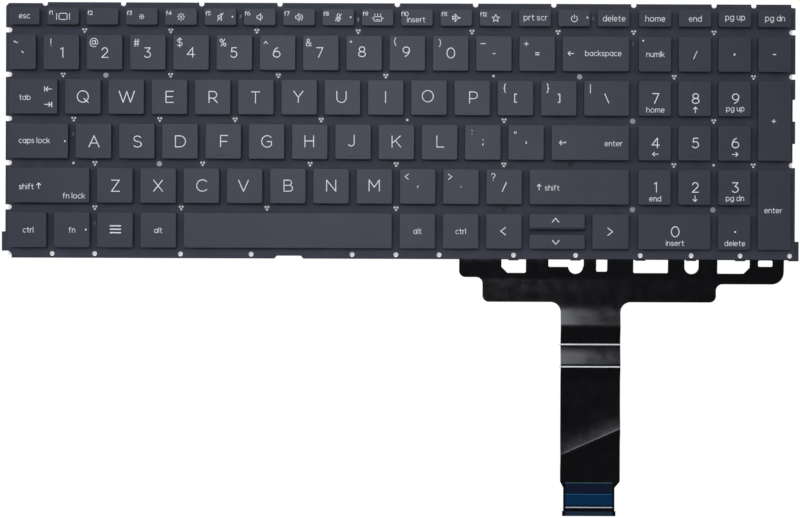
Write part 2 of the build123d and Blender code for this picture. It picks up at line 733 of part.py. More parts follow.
def tail_outline():
    half_ribbon = RIBBON_WIDTH / 2
    half_neck = NECK_WIDTH / 2
    half_end = END_EAR_WIDTH / 2
    ear_start = TAIL_REACH - END_EAR_LENGTH
    corners = [
        (-FLANGE_LEFT, -TAIL_ROOT, 0),
        (-FLANGE_LEFT, FLANGE_LEFT_STEP_REACH, FLANGE_RADIUS),
        (-FLANGE_LEFT_STEP, FLANGE_LEFT_STEP_REACH, FLANGE_RADIUS),
        (-FLANGE_LEFT_STEP, FLANGE_REACH, FLANGE_RADIUS),
        (-half_ribbon, FLANGE_REACH, RIBBON_RADIUS),
        (-half_ribbon, NECK_START, 0),
        (NECK_OFFSET - half_neck, NECK_REACH, 0),
        (NECK_OFFSET - half_neck, ear_start, 0),
        (NECK_OFFSET - half_end, ear_start, 0),
        (NECK_OFFSET - half_end, TAIL_REACH, 0),
        (NECK_OFFSET + half_end, TAIL_REACH, 0),
        (NECK_OFFSET + half_end, ear_start, 0),
        (NECK_OFFSET + half_neck, ear_start, 0),
        (NECK_OFFSET + half_neck, NECK_REACH, 0),
        (half_ribbon, NECK_START, 0),
        (half_ribbon, FLANGE_REACH, RIBBON_RADIUS),
        (FLANGE_RIGHT_STEP, FLANGE_REACH, FLANGE_RADIUS),
        (FLANGE_RIGHT_STEP, FLANGE_RIGHT_REACH, FLANGE_RADIUS),
        (FLANGE_RIGHT, FLANGE_RIGHT_REACH, FLANGE_RIGHT_RADIUS),
        (FLANGE_RIGHT, -TAIL_ROOT, 0),
    ]
    path = FilletPolyline(
        *[tail_point(place, reach) for place, reach, _ in corners],
        radius=[radius for _, _, radius in corners],
        close=True,
    )
    return make_face(path)


def window(left, right, reach, radius, left_cut=0.0, right_cut=0.0):
    """An opening of the flange from the plate's edge down, with its lower corners cut or rounded."""
    corners = [(left, 0, 0), (right, 0, 0)]
    corners += [(right, reach - right_cut, 0), (right - right_cut, reach, 0)] if right_cut else [
        (right, reach, radius)
    ]
    corners += [(left + left_cut, reach, 0), (left, reach - left_cut, 0)] if left_cut else [
        (left, reach, radius)
    ]
    path = FilletPolyline(
        *[tail_point(place, depth) for place, depth, _ in corners],
        radius=[radius for _, _, radius in corners],
        close=True,
    )
    return make_face(path)


def tail_windows():
    shapes = []
    for name, (left, right, reach) in WINDOWS.items():
        left_cut = WINDOW_CORNER_CUT if name == "first" else 0.0
        right_cut = WINDOW_CORNER_CUT if name == "sixth" else 0.0
        radius = ROUND_WINDOW_RADIUS if name == "fifth" else WINDOW_RADIUS
        shapes.append(window(left, right, reach, radius, left_cut, right_cut))
    shapes.append(Pos(*tail_point(LOBE_PLACE, LOBE_REACH - LOBE_RADIUS)) * Circle(LOBE_RADIUS))
    slot_left, slot_right = SLOT_WINDOW
    slot_near, slot_far = SLOT_WINDOW_REACHES
    slot_middle = tail_point((slot_left + slot_right) / 2, (slot_near + slot_far) / 2)
    slot = RectangleRounded(slot_right - slot_left, slot_far - slot_near, WINDOW_RADIUS)
    return shapes + [Pos(*slot_middle) * slot]


def tail_profile(crests):
    """The tail's side view: from between the films down to the table, in low waves, past its end."""
    points = [(-TAIL_ROOT, LOWER_FILM_TOP), (TAIL_DROP_START, LOWER_FILM_TOP), (TAIL_DROP_END, 0)]
    radii = [TAIL_DROP_RADIUS, TAIL_DROP_RADIUS]
    for reach, height, hollow_radius in crests:
        points += [(reach - WAVE_RISE_LENGTH, 0), (reach, height), (reach + WAVE_DROP_LENGTH, 0)]
        radii += [hollow_radius, CREST_RADIUS, DROP_RADIUS]
    points.append((TAIL_REACH + RIBBON_WIDTH, 0))
    under = FilletPolyline(*[(FRONT_EDGE - reach, z) for reach, z in points], radius=radii)
    over = Pos(0, SPACER_THICKNESS) * under
    ends = [Line(under @ 0, over @ 0), Line(under @ 1, over @ 1)]
    return make_face(Curve() + [under, over] + ends)


def ribbon_tail():
    """The tail's plan cut from two wavy sheets, which meet where both lie flat on the table."""
    plan = tail_outline() - tail_windows() - front_film_holes()
    side_view = Plane.YZ.offset(RIBBON_X)
    seam = Plane.XZ.offset(SLANT_START - FRONT_EDGE)
    straight = extrude(side_view * tail_profile(STRAIGHT_CRESTS), PLATE_LENGTH, both=True)
    slant = Vector(1, math.tan(math.radians(SLANT_DEGREES)), 0)
    slanted = extrude(side_view * tail_profile(SLANTED_CRESTS), RIBBON_WIDTH, dir=slant, both=True)
    wave = split(straight, seam, Keep.BOTTOM) + split(slanted, seam, Keep.TOP)
    return wave & extrude(plan, CAP_TOP)


def tail_stiffener():
    ear_start = TAIL_REACH - END_EAR_LENGTH
    strip = Pos(*tail_point(NECK_OFFSET, (STIFFENER_START + TAIL_REACH) / 2)) * Rectangle(
        STIFFENER_WIDTH, TAIL_REACH - STIFFENER_START
    )
    ears = Rectangle(END_EAR_WIDTH, END_EAR_LENGTH)
    ears = Pos(*tail_point(NECK_OFFSET, (ear_start + TAIL_REACH) / 2)) * ears
    return Pos(0, 0, SPACER_THICKNESS) * extrude(strip + ears, STIFFENER_THICKNESS)


def write_node(name, shapes):
    solids = [solid for shape in shapes for solid in shape.solids()]
    export_step(Compound(solids), f"parts/{name}.step")


def main():
    os.makedirs("parts", exist_ok=True)
    film = film_sheet()
    write_node("base_plate", [base_plate()])
    write_node("lower_circuit_film", [Pos(0, 0, PLATE_THICKNESS) * extrude(film, FILM_THICKNESS)])
    spacer = film - tail_root_area(TAIL_ROOT_CLEARANCE)
    write_node("spacer_film", [Pos(0, 0, LOWER_FILM_TOP) * extrude(spacer, SPACER_THICKNESS)])
    write_node("upper_circuit_film", [Pos(0, 0, SPACER_TOP) * extrude(film, FILM_THICKNESS)])
    write_node("ribbon_tail", [ribbon_tail()])
    write_node("tail_stiffener", [tail_stiffener()])
    write_node("rubber_domes", domes())
    write_node("scissor_links", links())
    write_node("indicator_leds", indicator_leds())
    write_node("function_number_pad_keys", [keycap(key) for key in OUTLYING_KEYS])
    for key in TYPING_KEYS:
        write_node(f"key_{key.name}", [keycap(key)])


if __name__ == "__main__":
    main()
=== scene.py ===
"""Finishes, printed legends and key springs for a laptop keyboard module, in a plain studio."""

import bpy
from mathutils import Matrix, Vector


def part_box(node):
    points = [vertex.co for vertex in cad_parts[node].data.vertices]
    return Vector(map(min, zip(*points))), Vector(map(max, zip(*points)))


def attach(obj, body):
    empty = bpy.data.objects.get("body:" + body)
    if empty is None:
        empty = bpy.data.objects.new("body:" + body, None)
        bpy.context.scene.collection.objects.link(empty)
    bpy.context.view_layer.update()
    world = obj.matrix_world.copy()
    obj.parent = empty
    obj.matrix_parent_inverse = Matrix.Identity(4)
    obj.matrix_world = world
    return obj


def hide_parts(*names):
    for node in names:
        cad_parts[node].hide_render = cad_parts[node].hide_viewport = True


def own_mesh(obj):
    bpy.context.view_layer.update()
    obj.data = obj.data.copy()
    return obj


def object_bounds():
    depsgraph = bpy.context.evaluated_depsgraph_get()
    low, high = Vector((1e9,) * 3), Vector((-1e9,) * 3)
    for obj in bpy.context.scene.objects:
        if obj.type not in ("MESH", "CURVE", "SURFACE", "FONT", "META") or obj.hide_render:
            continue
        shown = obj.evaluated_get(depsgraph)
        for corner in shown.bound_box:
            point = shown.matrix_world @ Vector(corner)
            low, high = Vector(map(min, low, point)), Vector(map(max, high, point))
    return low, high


bl_info = {
    "name": "Laptop keyboard",
    "version": (1, 0, 0),
    "blender": (4, 5, 0),
    "location": "View3D > Sidebar > Keyboard",
    "description": "Dresses a laptop keyboard module with its finishes, legends and springs",
    "category": "Object",
}

import functools
import math
from collections import namedtuple

import bmesh
import bpy
import numpy as np
from mathutils import Matrix, Vector
from mathutils.bvhtree import BVHTree

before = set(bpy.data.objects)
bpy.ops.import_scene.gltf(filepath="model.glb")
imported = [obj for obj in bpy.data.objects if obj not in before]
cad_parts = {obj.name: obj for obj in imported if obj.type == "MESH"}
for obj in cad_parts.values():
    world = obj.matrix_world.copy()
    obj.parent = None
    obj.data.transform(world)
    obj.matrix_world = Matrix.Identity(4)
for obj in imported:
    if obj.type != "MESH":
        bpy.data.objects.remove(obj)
CAD_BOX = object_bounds()

MM = 0.001
FIXED_CAPS = "function_number_pad_keys"
TYPING_PREFIX = "key_"
# The caps of the fixed group, row by row from the back, and left to right in each row
FIXED_KEYS = ["esc"] + [f"f{number}" for number in range(1, 13)]
FIXED_KEYS += ["print_screen", "power", "delete", "home", "end", "page_up", "page_down"]
FIXED_KEYS += ["backquote"] + list("1234567890") + ["minus", "equals", "backspace"]
FIXED_KEYS += ["num_lock", "pad_divide", "pad_multiply", "pad_minus", "pad_7", "pad_8", "pad_9", "pad_plus"]
FIXED_KEYS += ["pad_4", "pad_5", "pad_6", "pad_1", "pad_2", "pad_3", "pad_enter", "pad_0", "pad_decimal"]

Cap = namedtuple("Cap", "low high body")
Legend = namedtuple("Legend", "text style x y")


def linear(hex_code):
    """A hex sRGB colour as linear red, green and blue."""
    shares = [int(hex_code[place:place + 2], 16) / 255 for place in (1, 3, 5)]
    return tuple(s / 12.92 if s <= 0.04045 else ((s + 0.055) / 1.055) ** 2.4 for s in shares)


def colour_property(name, description, hex_code):
    return bpy.props.FloatVectorProperty(
        name=name, description=description, subtype="COLOR", size=3, min=0, max=1, default=linear(hex_code)
    )


def length_property(name, description, millimetres):
    return bpy.props.FloatProperty(
        name=name, description=description, subtype="DISTANCE", unit="LENGTH", default=millimetres * MM,
        precision=5,
    )


def share_property(name, description, share):
    return bpy.props.FloatProperty(
        name=name, description=description, subtype="FACTOR", min=0, max=1, default=share
    )


def level_property(name, description, level):
    return bpy.props.FloatProperty(name=name, description=description, min=0, default=level)


class KeycapLooks(bpy.types.PropertyGroup):
    paint: colour_property("Cap paint", "Matt paint of the keycaps", "#353945")
    grit: length_property("Paint grit", "Width of the pebbles, coarser than real so that it shows", 0.3)
    roughness: share_property("Roughness", "Roughness of the paint", 0.45)


class PrintLooks(bpy.types.PropertyGroup):
    ink: colour_property("Ink", "Colour of the legends", "#f3f5fb")
    letter: length_property("Letter height", "Height of the capital letters", 4.8)
    digit: length_property("Digit height", "Height of the digits", 4.15)
    symbol: length_property("Symbol height", "Height of the shifted symbols", 3.05)
    word: length_property("Word height", "Height of tall letters in words", 2.25)
    label: length_property("Label height", "Height of tall letters in the function row", 2.45)
    tiny: length_property("Tiny height", "Height of the function numbers", 1.6)
    icon: length_property("Icon height", "Height of the icons", 3.1)
    heavy_line: length_property("Heavy line", "Width of the lines of letters and digits", 0.4)
    fine_line: length_property("Fine line", "Width of the lines of words and icons", 0.25)
    light_dot: length_property("Light dot", "Width of the clear dot over an indicator light", 0.75)


class SheetLooks(bpy.types.PropertyGroup):
    film: colour_property("Film", "Dark print of the circuit films", "#3d404d")
    plate: colour_property("Plate", "Dark finish of the steel plate", "#31343d")
    # The clear spot colour is a painted shade of the hole under the film
    clear_spot_painted_shade: colour_property("Clear spot", "Unprinted film over a hole of the plate", "#9a9ca2")
    spot_ink: colour_property("Spot ink", "Black ink of the dark spots on the film", "#060709")
    spot_radius: length_property("Spot radius", "Radius of an unprinted spot of film", 1.15)
    rubber: colour_property("Dome rubber", "Silicone rubber of the domes", "#8f9296")
    links: colour_property("Links", "Acetal of the scissor links", "#2a2b30")
    pressed_share: share_property("Pressed share", "Height that a pressed dome and its links keep", 0.47)


class TailLooks(bpy.types.PropertyGroup):
    ribbon: colour_property("Ribbon", "Black gloss film of the tail", "#08070b")
    line: colour_property("Ribbon line", "White lines across the tail", "#eceef2")
    line_width: length_property("Line width", "Width of the white lines", 0.6)
    roughness: share_property("Roughness", "Roughness of the gloss film", 0.15)


class StageLooks(bpy.types.PropertyGroup):
    backdrop: colour_property("Backdrop", "Pale floor and background", "#ffffff")
    camera_height: length_property("Camera height", "Height of the lens over the table", 747.0)
    view_width: length_property("View width", "Width of the picture at the table", 347.8)
    softbox: level_property("Softbox", "Power of the softbox above", 1.55)
    key: level_property("Key light", "Power of the light behind at the left", 9)
    side: level_property("Side light", "Power of the light at the left", 18)
    fill: level_property("Fill light", "Power of the light in front", 1.0)
    ambient: level_property("Ambient", "Strength of the light all round", 0.25)
    ceiling: level_property("Ceiling", "How bright gloss shows the ceiling", 0.06)


class KeyboardLooks(bpy.types.PropertyGroup):
    keycaps: bpy.props.PointerProperty(type=KeycapLooks)
    prints: bpy.props.PointerProperty(type=PrintLooks)
    sheets: bpy.props.PointerProperty(type=SheetLooks)
    tail: bpy.props.PointerProperty(type=TailLooks)
    stage: bpy.props.PointerProperty(type=StageLooks)


# Where the caps are

def mesh_boxes(mesh):
    """The boxes of a mesh's separate solids."""
    shape = bmesh.new()
    shape.from_mesh(mesh)
    bmesh.ops.remove_doubles(shape, verts=shape.verts, dist=1e-7)
    unseen = set(shape.verts)
    boxes = []
    while unseen:
        found = [unseen.pop()]
        for vertex in found:
            near = {edge.other_vert(vertex) for edge in vertex.link_edges} & unseen
            unseen -= near
            found.extend(near)
        places = np.array([vertex.co for vertex in found])
        boxes.append((Vector(places.min(0)), Vector(places.max(0))))
    shape.free()
    return boxes


def find_caps():
    """Every key's cap, with its box and the body that it rides on."""
    caps = {}
    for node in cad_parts:
        if node.startswith(TYPING_PREFIX):
            name = node[len(TYPING_PREFIX):]
            caps[name] = Cap(*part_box(node), f"{name}_key")
    boxes = mesh_boxes(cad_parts[FIXED_CAPS].data)
    boxes.sort(key=lambda box: (-round((box[0].y + box[1].y) / 2, 3), box[0].x))
    for name, box in zip(FIXED_KEYS, boxes, strict=True):
        caps[name] = Cap(*box, "base")
    return caps


CAPS = find_caps()
CAP_TOP = CAPS["space"].high.z


def gap_spot(left, right, above, below):
    """The middle of the crossing between four caps, given by a key on each side."""
    x = (CAPS[left].high.x + CAPS[right].low.x) / 2
    y = (CAPS[above].low.y + CAPS[below].high.y) / 2
    return x, y


# Line drawings of the legends: points from 0 to 1 tall, with round stretches as arcs

ARC_STEP = 18
CORNER = math.radians(40)
LETTER_SPACE = 0.24
WORD_SPACE = 0.34


def arc(x, y, across, up, start, end):
    """Points of an arc with half-widths across and up, between two angles in degrees."""
    steps = math.ceil(abs(end - start) / ARC_STEP)
    angles = [math.radians(start + (end - start) * step / steps) for step in range(steps + 1)]
    return [(x + across * math.cos(a), y + up * math.sin(a)) for a in angles]


def ring(x, y, across, up):
    return arc(x, y, across, up, 0, 360)


def round_box(left, low, right, high, radius):
    corners = [(right, high, 0), (left, high, 90), (left, low, 180), (right, low, 270)]
    points = []
    for x, y, start in corners:
        inner_x = x - radius if x == right else x + radius
        inner_y = y - radius if y == high else y + radius
        points += arc(inner_x, inner_y, radius, radius, start, start + 90)
    return points + points[:1]


def mirrored(strokes, width):
    return [[(width - x, y) for x, y in stroke] for stroke in strokes]


def dot(x, y):
    return [(x, y - 0.01), (x, y + 0.01)]


def rays(x, y, near, far, count):
    """Short lines all round a point."""
    lines = []
    for step in range(count):
        turn = math.tau * step / count
        across, up = math.cos(turn), math.sin(turn)
        lines.append([(x + near * across, y + near * up), (x + far * across, y + far * up)])
    return lines


def star_points(points, outer, inner):
    corners = []
    for step in range(2 * points + 1):
        turn = math.pi / 2 + math.pi * step / points
        reach = inner if step % 2 else outer
        corners.append((0.5 + reach * math.cos(turn), 0.5 + reach * math.sin(turn)))
    return corners


S_CURVE = arc(0.35, 0.755, 0.31, 0.245, 30, 270) + arc(0.35, 0.255, 0.35, 0.255, 90, -150)
P_BOWL = [(0, 0), (0, 1), (0.4, 1)] + arc(0.4, 0.7, 0.3, 0.3, 90, -90) + [(0, 0.4)]
BRACE = [[(0.3, 1.1)] + arc(0.3, 0.92, 0.15, 0.18, 90, 180) + arc(0, 0.62, 0.15, 0.12, 0, -90)
         + arc(0, 0.38, 0.15, 0.12, 90, 0) + arc(0.3, 0.08, 0.15, 0.18, 180, 270)]
LOW_BOWL = ring(0.3, 0.35, 0.3, 0.35)
SPEAKER = [(0, 0.33), (0.2, 0.33), (0.5, 0), (0.5, 1), (0.2, 0.67), (0, 0.67), (0, 0.33)]
LESS = [[(0.5, 0.88), (0, 0.5), (0.5, 0.12)]]
LEFT_ARROW = [[(0.95, 0.5), (0, 0.5)], [(0.34, 0.84), (0, 0.5), (0.34, 0.16)]]
TAB_BACK = [[(0, 0.1), (0, 0.9)], [(0.2, 0.5), (1.2, 0.5)], [(0.54, 0.84), (0.2, 0.5), (0.54, 0.16)]]
AIRPLANE_SIDE = [(1.1, 0.5), (0.72, 0.6), (0.42, 1), (0.32, 1), (0.48, 0.6), (0.2, 0.6), (0.1, 0.74),
                 (0, 0.74), (0.06, 0.5)]

GLYPHS = {
    "A": [[(0, 0), (0.46, 1), (0.92, 0)], [(0.155, 0.34), (0.765, 0.34)]],
    "B": [[(0, 0), (0, 1), (0.43, 1)] + arc(0.43, 0.765, 0.25, 0.235, 90, -90) + [(0, 0.53)],
          [(0.43, 0.53)] + arc(0.5, 0.265, 0.27, 0.265, 90, -90) + [(0, 0)]],
    "C": [arc(0.52, 0.5, 0.52, 0.515, 43, 317)],
    "D": [[(0, 0), (0, 1), (0.4, 1)] + arc(0.4, 0.5, 0.5, 0.5, 90, -90) + [(0, 0)]],
    "E": [[(0.66, 1), (0, 1), (0, 0), (0.67, 0)], [(0, 0.52), (0.59, 0.52)]],
    "F": [[(0.64, 1), (0, 1), (0, 0)], [(0, 0.46), (0.57, 0.46)]],
    "G": [arc(0.5, 0.5, 0.5, 0.515, 47, 320) + [(0.88, 0.48), (0.5, 0.48)]],
    "H": [[(0, 0), (0, 1)], [(0.78, 0), (0.78, 1)], [(0, 0.52), (0.78, 0.52)]],
    "I": [[(0, 0), (0, 1)]],
    "J": [[(0.53, 1), (0.53, 0.27)] + arc(0.26, 0.27, 0.27, 0.27, 0, -150)],
    "K": [[(0, 0), (0, 1)], [(0.74, 1), (0, 0.34)], [(0.28, 0.59), (0.78, 0)]],
    "L": [[(0, 1), (0, 0), (0.61, 0)]],
    "M": [[(0, 0), (0, 1), (0.46, 0.34), (0.92, 1), (0.92, 0)]],
    "N": [[(0, 0), (0, 1), (0.82, 0), (0.82, 1)]],
    "O": [ring(0.5, 0.5, 0.5, 0.515)],
    "P": [P_BOWL],
    "Q": [ring(0.5, 0.5, 0.5, 0.515), [(0.6, 0.32), (0.98, -0.02)]],
    "R": [P_BOWL, [(0.38, 0.4), (0.74, 0)]],
    "S": [S_CURVE],
    "T": [[(0, 1), (0.72, 1)], [(0.36, 1), (0.36, 0)]],
    "U": [[(0, 1), (0, 0.4)] + arc(0.42, 0.4, 0.42, 0.4, 180, 360) + [(0.84, 1)]],
    "V": [[(0, 1), (0.44, 0), (0.88, 1)]],
    "W": [[(0, 1), (0.36, 0), (0.69, 0.97), (1.02, 0), (1.38, 1)]],
    "X": [[(0, 1), (0.8, 0)], [(0, 0), (0.8, 1)]],
    "Y": [[(0, 1), (0.41, 0.45), (0.82, 1)], [(0.41, 0.45), (0.41, 0)]],
    "Z": [[(0, 1), (0.7, 1), (0, 0), (0.72, 0)]],
    "0": [ring(0.4, 0.5, 0.4, 0.53)],
    "1": [[(0, 0.84), (0.22, 1), (0.22, 0)]],
    "2": [arc(0.31, 0.7, 0.29, 0.3, 165, -40) + [(0, 0), (0.64, 0)]],
    "3": [[(0.03, 1), (0.58, 1), (0.27, 0.6)] + arc(0.29, 0.3, 0.33, 0.3, 85, -150)],
    "4": [[(0.56, 0), (0.56, 1), (0, 0.27), (0.74, 0.27)]],
    "5": [[(0.56, 1), (0.1, 1), (0.06, 0.56)] + arc(0.28, 0.32, 0.34, 0.32, 130, -150)],
    "6": [ring(0.36, 0.31, 0.35, 0.31), arc(0.62, 0.31, 0.61, 0.69, 104, 180)],
    "7": [[(0, 1), (0.64, 1), (0.2, 0)]],
    "8": [ring(0.36, 0.77, 0.29, 0.25), ring(0.36, 0.26, 0.36, 0.26)],
    "9": [ring(0.33, 0.69, 0.33, 0.31), arc(0.07, 0.69, 0.59, 0.69, -76, 0)],
    "a": [LOW_BOWL, [(0.6, 0.7), (0.6, 0)]],
    "b": [LOW_BOWL, [(0, 1), (0, 0)]],
    "c": [arc(0.32, 0.35, 0.32, 0.35, 52, 308)],
    "d": [LOW_BOWL, [(0.6, 1), (0.6, 0)]],
    "e": [[(0.02, 0.36), (0.58, 0.36)] + arc(0.3, 0.35, 0.29, 0.35, 5, 310)],
    "f": [[(0.14, 0), (0.14, 0.78)] + arc(0.36, 0.78, 0.22, 0.22, 180, 80), [(0, 0.66), (0.36, 0.66)]],
    "g": [LOW_BOWL, [(0.6, 0.7), (0.6, 0)] + arc(0.3, 0, 0.3, 0.28, 0, -150)],
    "h": [[(0, 1), (0, 0)], [(0, 0.43)] + arc(0.27, 0.43, 0.27, 0.27, 180, 0) + [(0.54, 0)]],
    "i": [[(0, 0.7), (0, 0)], dot(0, 0.97)],
    "k": [[(0, 1), (0, 0)], [(0.48, 0.7), (0, 0.24)], [(0.18, 0.41), (0.52, 0)]],
    "l": [[(0, 1), (0, 0)]],
    "m": [[(0, 0.7), (0, 0)], [(0, 0.46)] + arc(0.22, 0.46, 0.22, 0.24, 180, 0) + [(0.44, 0)],
          [(0.44, 0.46)] + arc(0.66, 0.46, 0.22, 0.24, 180, 0) + [(0.88, 0)]],
    "n": [[(0, 0.7), (0, 0)], [(0, 0.43)] + arc(0.26, 0.43, 0.26, 0.27, 180, 0) + [(0.52, 0)]],
    "o": [ring(0.34, 0.35, 0.34, 0.35)],
    "p": [LOW_BOWL, [(0, 0.7), (0, -0.28)]],
    "r": [[(0, 0.7), (0, 0)], [(0, 0.4)] + arc(0.28, 0.4, 0.28, 0.29, 180, 85)],
    "s": [arc(0.23, 0.525, 0.2, 0.175, 30, 270) + arc(0.23, 0.175, 0.23, 0.175, 90, -150)],
    "t": [[(0.13, 0.93), (0.13, 0.2)] + arc(0.32, 0.2, 0.19, 0.2, 180, 285), [(0, 0.66), (0.36, 0.66)]],
    "u": [[(0, 0.7), (0, 0.27)] + arc(0.26, 0.27, 0.26, 0.27, 180, 360), [(0.52, 0.7), (0.52, 0)]],
    "~": [arc(0.14, 0.46, 0.14, 0.1, 170, 0) + arc(0.42, 0.46, 0.14, 0.1, 180, 350)],
    "`": [[(0, 1), (0.2, 0.84)]],
    "!": [[(0, 1), (0, 0.3)], dot(0, 0.02)],
    "@": [ring(0.53, 0.5, 0.23, 0.26), arc(0.56, 0.48, 0.55, 0.6, -10, 300),
          [(0.77, 0.76), (0.77, 0.42)] + arc(0.94, 0.42, 0.17, 0.18, 180, 345)],
    "#": [[(0.24, 1), (0.12, 0)], [(0.58, 1), (0.46, 0)], [(0.02, 0.68), (0.7, 0.68)],
          [(0, 0.32), (0.68, 0.32)]],
    "$": [S_CURVE, [(0.35, 1.14), (0.35, -0.14)]],
    "%": [ring(0.17, 0.79, 0.17, 0.21), ring(0.67, 0.21, 0.17, 0.21), [(0.68, 1), (0.16, 0)]],
    "^": [[(0, 0.68), (0.24, 1), (0.48, 0.68)]],
    "&": [[(0.74, 0), (0.16, 0.69)] + arc(0.32, 0.8, 0.18, 0.2, 215, -35) + [(0.14, 0.43)]
          + arc(0.28, 0.25, 0.26, 0.25, 130, 340) + [(0.7, 0.45)]],
    "*": rays(0.1, 0.9, 0.02, 0.11, 5),
    "(": [arc(0.5, 0.5, 0.5, 0.7, 130, 230)],
    ")": [arc(-0.28, 0.5, 0.5, 0.7, 50, -50)],
    "_": [[(0, 0.5), (0.66, 0.5)]],
    "-": [[(0, 0.5), (0.26, 0.5)]],
    "+": [[(0, 0.5), (0.52, 0.5)], [(0.26, 0.76), (0.26, 0.24)]],
    "=": [[(0, 0.62), (0.42, 0.62)], [(0, 0.38), (0.42, 0.38)]],
    "{": BRACE,
    "}": mirrored(BRACE, 0.3),
    "[": [[(0.24, 1), (0, 1), (0, 0), (0.24, 0)]],
    "]": [[(0, 1), (0.24, 1), (0.24, 0), (0, 0)]],
    "|": [[(0, 1.1), (0, -0.1)]],
    "\\": [[(0, 1.05), (0.5, -0.05)]],
    "/": [[(0, -0.05), (0.5, 1.05)]],
    ":": [dot(0, 0.62), dot(0, 0.14)],
    ";": [dot(0, 0.62), [(0.02, 0.14), (-0.03, -0.06)]],
    "\"": [[(0, 1), (0, 0.76)], [(0.2, 1), (0.2, 0.76)]],
    "'": [[(0, 1), (0, 0.76)]],
    "<": LESS,
    ">": mirrored(LESS, 0.5),
    ",": [[(0.04, 0.1), (-0.02, -0.1)]],
    ".": [dot(0, 0)],
    "?": [arc(0.25, 0.75, 0.25, 0.25, 165, -50) + [(0.25, 0.42), (0.25, 0.3)], dot(0.25, 0.02)],
}

ICONS = {
    "arrow_left": LEFT_ARROW,
    "arrow_right": mirrored(LEFT_ARROW, 0.95),
    "arrow_up": [[(0.34, 0), (0.34, 0.95)], [(0, 0.61), (0.34, 0.95), (0.68, 0.61)]],
    "arrow_down": [[(0.34, 0.95), (0.34, 0)], [(0, 0.34), (0.34, 0), (0.68, 0.34)]],
    "arrow_enter": [[(1.05, 0.7), (1.05, 0.5), (0, 0.5)], [(0.34, 0.84), (0, 0.5), (0.34, 0.16)]],
    "tab_back": TAB_BACK,
    "tab_forward": mirrored(TAB_BACK, 1.2),
    "peak": [[(0, 0), (0.84, 0.98), (1.68, 0)]],
    "valley": [[(0, 0.98), (0.84, 0), (1.68, 0.98)]],
    "menu": [[(0, 0.84), (1, 0.84)], [(0, 0.5), (1, 0.5)], [(0, 0.16), (1, 0.16)]],
    "display": [[(0, 0.08), (0, 0.92)], round_box(0.34, 0.06, 1.46, 0.94, 0.2), [(1.8, 0.08), (1.8, 0.92)]],
    "small_sun": [ring(0.5, 0.5, 0.05, 0.05)] + rays(0.5, 0.5, 0.26, 0.31, 8),
    "large_sun": [ring(0.5, 0.5, 0.07, 0.07)] + rays(0.5, 0.5, 0.31, 0.5, 8),
    "speaker_off": [SPEAKER, [(-0.08, -0.04), (0.76, 1.04)]],
    "speaker_low": [SPEAKER, arc(0.56, 0.5, 0.2, 0.24, -60, 60)],
    "speaker_high": [SPEAKER, arc(0.56, 0.5, 0.2, 0.24, -60, 60), arc(0.56, 0.5, 0.44, 0.46, -60, 60)],
    "microphone_off": [round_box(0.34, 0.36, 0.66, 1, 0.15), arc(0.5, 0.45, 0.32, 0.3, 180, 360),
                       [(0.5, 0.15), (0.5, 0)], [(0.3, 0), (0.7, 0)], [(0.06, 0.04), (0.94, 0.96)]],
    "key_light": [round_box(0.26, 0, 1.34, 0.62, 0.1), [(0.55, 0.2), (1.05, 0.2)], [(0.4, 0.78), (0.4, 1)],
                  [(0.8, 0.78), (0.8, 1)], [(1.2, 0.78), (1.2, 1)], [(0, 0.42), (0.12, 0.38)],
                  [(1.6, 0.42), (1.48, 0.38)]],
    "airplane": [AIRPLANE_SIDE, [(x, 1 - y) for x, y in AIRPLANE_SIDE]],
    "star": [star_points(5, 0.56, 0.24)],
    "power": [arc(0.5, 0.45, 0.42, 0.42, 122, 418), [(0.5, 1), (0.5, 0.5)]],
    "light_dot": [dot(0, 0)],
}


def text_strokes(text):
    """A legend's lines around its own middle, one unit tall for capitals."""
    if text in ICONS:
        strokes = ICONS[text]
    else:
        strokes = []
        start = 0
        for character in text:
            if character == " ":
                start += WORD_SPACE
                continue
            glyph = GLYPHS[character]
            left = min(x for stroke in glyph for x, _ in stroke)
            right = max(x for stroke in glyph for x, _ in stroke)
            strokes += [[(start + x - left, y) for x, y in stroke] for stroke in glyph]
            start += right - left + LETTER_SPACE
    all_x = [x for stroke in strokes for x, _ in stroke]
    all_y = [y for stroke in strokes for _, y in stroke]
    middle_x = (min(all_x) + max(all_x)) / 2
    middle_y = (min(all_y) + max(all_y)) / 2
    return [[(x - middle_x, y - middle_y) for x, y in stroke] for stroke in strokes]


def split_at_corners(points):
    """A line cut into smooth runs, because a swept line narrows at a sharp corner."""
    runs = [[points[0]]]
    for before, here, after in zip(points, points[1:], points[2:]):
        runs[-1].append(here)
        turn_in = math.atan2(here[1] - before[1], here[0] - before[0])
        turn_out = math.atan2(after[1] - here[1], after[0] - here[0])
        if abs(math.remainder(turn_out - turn_in, math.tau)) > CORNER:
            runs.append([here])
    runs[-1].append(points[-1])
    return runs


# What is printed on each key. Places are millimetres from the middle of the cap.

SYMBOL_PLACE = (-4.75, 4.3)
PAIRS = {
    "backquote": "`~", "1": "1!", "2": "2@", "3": "3#", "4": "4$", "5": "5%", "6": "6^", "7": "7&",
    "8": "8*", "9": "9(", "0": "0)", "minus": "-_", "equals": "=+", "left_bracket": "[{",
    "right_bracket": "]}", "backslash": "\\|", "semicolon": ";:", "quote": "'\"", "comma": ",<",
    "period": ".>", "slash": "/?",
}
SYMBOL_PLACES = {"backquote": (-3.0, 4.3), "backslash": (-7.1, 4.1)}
PAD_DIGIT_PLACE = (0.3, 0.1)
PAD_WORD_PLACE = (0.2, -4.8)
PAD_DIGITS = {
    "pad_7": ("7", "home"), "pad_8": ("8", "arrow_up"), "pad_9": ("9", "pg up"), "pad_4": ("4", "arrow_left"),
    "pad_5": ("5", ""), "pad_6": ("6", "arrow_right"), "pad_1": ("1", "end"), "pad_2": ("2", "arrow_down"),
    "pad_3": ("3", "pg dn"), "pad_0": ("0", "insert"), "pad_decimal": (".", "delete"),
}
FUNCTION_NUMBER_PLACE = (-5.3, 1.6)
